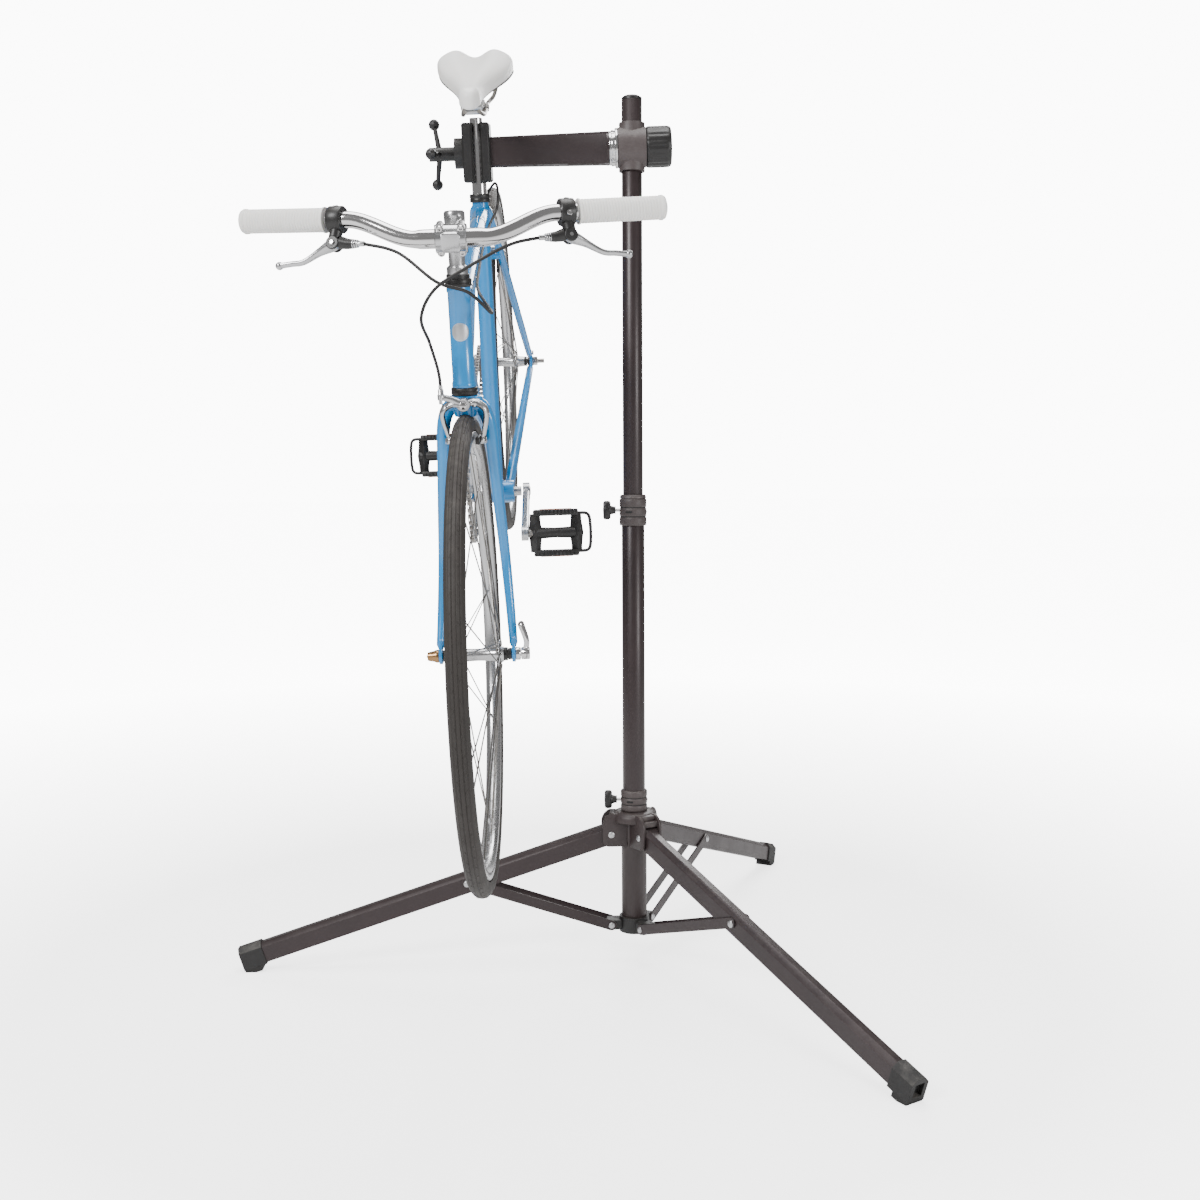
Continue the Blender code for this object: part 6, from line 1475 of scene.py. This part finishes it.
def make_hub():
    """The sliding hub: three pairs of cheeks under a domed roof, a ribbed collar above and a sleeve below."""
    low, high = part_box("tripod_hub")
    top = LEG_PIVOT_Z + LEG_HEIGHT / 2 + 0.0003 + 0.022
    form = Form().use("hub_plastic")
    form.lathe(mast_at(0), [
        (0.0203, low.z), (0.0222, low.z), (0.0226, low.z + 0.0008), (0.0226, top - 0.055), (0.0232, top - 0.050), (0.0232, top - 0.020),
        (0.0380, top - 0.0185), (0.0400, top - 0.0170), (0.0402, top - 0.0090), (0.0380, top - 0.0040), (0.0330, top - 0.0008),
        (0.0260, top), (0.0203, top)], 72, closed_ring=True)
    collar(form, top + 0.0004, high.z, ribs=3)
    form.use("hub_plastic")
    cheek_out, cheek_gap, thick = 0.058, LEG_WIDTH / 2 + 0.0006, 0.0050
    for azimuth in LEG_AZIMUTHS.values():
        place = mast_at(0) @ Matrix.Rotation(math.radians(azimuth), 4, "Z")
        for side in (1, -1):
            plane = place @ Matrix(((1, 0, 0, 0), (0, 0, -1, side * (cheek_gap + thick / 2)), (0, 1, 0, 0), (0, 0, 0, 1)))
            outline = ([(0.014, top - 0.062), (cheek_out - 0.012, top - 0.062)] + arc((cheek_out - 0.012, top - 0.050), 0.012, -90, 0, 6)
                       + arc((cheek_out - 0.024, top - 0.024), 0.024, 0, 68, 10) + [(0.014, top - 0.003)])
            form.slab(plane, outline, -thick / 2, thick / 2, 0.0010)
            rivet = place @ Vector((0.042, side * (cheek_gap + thick), LEG_PIVOT_Z))
            outward = place.to_3x3() @ Vector((0, side, 0))
            form.use("satin_alloy").lathe(facing(rivet, outward),
                                          [(0.0058, -0.0004), (0.0056, 0.0008), (0.0044, 0.0018), (0.0020, 0.0023)], 24)
            form.use("hub_plastic")
        roof = [(0.020, -cheek_gap - thick + 0.0006)] + [(0.052, -cheek_gap - thick + 0.0006), (0.052, cheek_gap + thick - 0.0006),
                                                         (0.020, cheek_gap + thick - 0.0006)]
        form.slab(place, roof, top - 0.0215, top - 0.0120, 0.0012)
        crest = [(0.018, -0.0150), (0.0440, -0.0150), (0.0440, 0.0150), (0.018, 0.0150)]
        form.slab(place, crest, top - 0.0135, top - 0.0030, 0.0030)
    knob_boss(form.use("collar_plastic"), "hub_knob")
    piece("tripod_hub_shell", form, "tripod_hub", "tripod_hub", smooth=40)


def make_leg_details():
    """Rivets and the pins of the braces."""
    for name, azimuth in LEG_AZIMUTHS.items():
        start, across = pin(f"leg_{name}_fold"), Vector((-math.sin(math.radians(azimuth)), math.cos(math.radians(azimuth)), 0))
        outward = Vector((math.cos(math.radians(azimuth)), math.sin(math.radians(azimuth)), 0))
        down = outward * math.cos(LEG_SLOPE) - Z * math.sin(LEG_SLOPE)
        brace = Form().use("satin_alloy")
        join = start + down * BRACE_SPAN
        for side in (1, -1):
            brace.lathe(facing(join + across * side * (LEG_WIDTH / 2 + STRAP_FACE), across * side),
                        [(0.0062, 0), (0.0060, 0.0010), (0.0045, 0.0022), (0.0020, 0.0027)], 24)
        piece(f"brace_rivets_{name}", brace, f"leg_{name}", slot="anodised")
        foot = Form().use("satin_alloy")
        ring_end = Vector((start.x, start.y, pin(f"brace_{name}_fold").z))
        for side in (1, -1):
            foot.lathe(facing(ring_end + across * side * (LEG_WIDTH / 2 + STRAP_FACE), across * side),
                       [(0.0058, 0), (0.0055, 0.0010), (0.0040, 0.0021), (0.0020, 0.0025)], 24)
        piece(f"brace_pins_{name}", foot, f"brace_{name}", slot="anodised")


def make_head_fittings():
    """The chromed lock ring and the tension knob with its grip flutes."""
    low = [(v.co - ARM_PIN).dot(ARM) for v in frame["nodes"]["lock_ring"].data.vertices]
    near, far = min(low), max(low)
    form = Form().use("chrome")
    length = far - near
    profile = [(0.0125, 0), (0.0325, 0), (0.0335, 0.0010), (0.0335, 0.0036), (0.0318, 0.0046), (0.0290, 0.0050), (0.0288, 0.0060),
               (0.0290, 0.0070), (0.0290, length - 0.0045), (0.0283, length - 0.0035), (0.0287, length - 0.0022), (0.0280, length - 0.0002),
               (0.0125, length)]
    form.lathe(facing(ARM_PIN + ARM * near, ARM), [(r, length - h) for r, h in profile][::-1], 72, closed_ring=True)
    for k in range(12):
        a = math.tau * k / 12
        radial = (STEER * math.cos(a) + ARM.cross(STEER) * math.sin(a)).normalized()
        form.brick(facing(ARM_PIN + ARM * (near + length * 0.42) + radial * 0.0290, radial, ARM), (0.0052, 0.0062, 0.0014), 0.0004)
    piece("lock_ring_bands", form, "clamp", "lock_ring")
    reach = [(v.co - ARM_PIN).dot(ARM) for v in frame["nodes"]["tension_knob"].data.vertices]
    near, far = min(reach), max(reach)
    form = Form().use("black_plastic")
    radius, tall = 0.0345, 0.0440
    start = far - tall
    rings = []
    across, over = ARM.cross(STEER).normalized(), STEER
    rows = [(0.60, 0.0), (0.94, 0.0006), (0.985, 0.0022), (1.0, 0.0050), (1.0, 0.0130), (1.0, 0.0240), (1.0, 0.0340), (0.985, 0.0385),
            (0.94, 0.0420), (0.86, 0.0434), (0.70, 0.0440), (0.66, 0.0432), (0.30, 0.0430)]
    for scale, height in rows:
        ring = []
        for i in range(120):
            a = math.tau * i / 120
            flute = 0.0011 * max(0, math.cos(a * 20)) if 0.004 < height < 0.038 else 0
            r = radius * scale - flute
            ring.append(tuple(ARM_PIN + ARM * (start + height) + (across * math.cos(a) + over * math.sin(a)) * r))
        rings.append(form.ring(Matrix.Identity(4), ring))
    form._skin(rings)
    form.use("steel").tube([ARM_PIN + ARM * near, ARM_PIN + ARM * (start + 0.001)], 0.0060, 24)
    piece("tension_knob_flutes", form, "tension_knob", "tension_knob", smooth=50)


def make_jaw_pads():
    """Grey ribbed rubber in each jaw's groove, beside the seatpost."""
    centre = ARM_PIN - ARM * 0.265
    for name, body, side in (("fixed", "clamp", 1), ("moving", "moving_jaw", -1)):
        reach = [(v.co - centre).dot(ARM) * side for v in frame["nodes"][name + "_jaw"].data.vertices]
        inner = min(reach)
        form = Form().use("jaw_rubber")
        for lift in range(-4, 5):
            for y in (-1, 1):
                middle = centre + ARM * side * (inner + 0.0014) + AHEAD * y * 0.0165 + STEER * lift * 0.0102
                place = axes_at(middle, AHEAD, STEER, AHEAD.cross(STEER))
                form.brick(place, (0.0080, 0.0075, 0.0036), 0.0008)
        piece(name + "_jaw_pads", form, body, slot="rubber")


make_mast_tubes()
make_mid_collar()
make_hub()
make_wing_knob("mid_knob", "mid_knob")
make_wing_knob("hub_knob", "hub_knob")
make_leg_details()
make_head_fittings()
make_jaw_pads()


# ---- nodes whose shape is right: softened copies ----
ALIKE = {
    "anodised": ["leg_left", "leg_right", "leg_rear", "brace_left", "brace_right", "brace_rear", "clamp_arm",
                 "main_tube", "upper_tube"],
    "black_plastic": ["brace_ring", "mid_knob", "hub_knob", "mast_cap", "tension_knob", "fixed_jaw",
                      "moving_jaw", "clamp_handle", "seat_clamp", "headset_upper", "headset_lower",
                      "lever_clamp_left", "lever_clamp_right", "pedal_left", "pedal_right"],
    "collar_plastic": ["mid_collar", "tripod_hub", "head_collar"],
    "rubber": ["foot_left", "foot_right", "foot_rear", "front_brake_cable", "rear_brake_cable"],
    "blue_paint": ["frame", "fork"],
    "chrome": ["lock_ring", "seatpost", "handlebar", "front_skewer", "quick_release_lever"],
    "alloy": ["stem", "crank_left", "crank_right", "brake_lever_left", "brake_lever_right",
              "front_brake_arm_left", "front_brake_arm_right", "rear_brake_arm_left", "rear_brake_arm_right"],
    "steel": ["chain", "freewheel", "saddle_rails"],
}
for finish_name, nodes in ALIKE.items():
    for node in nodes:
        if not frame["nodes"][node].hide_render:
            refined(node, finish_name)
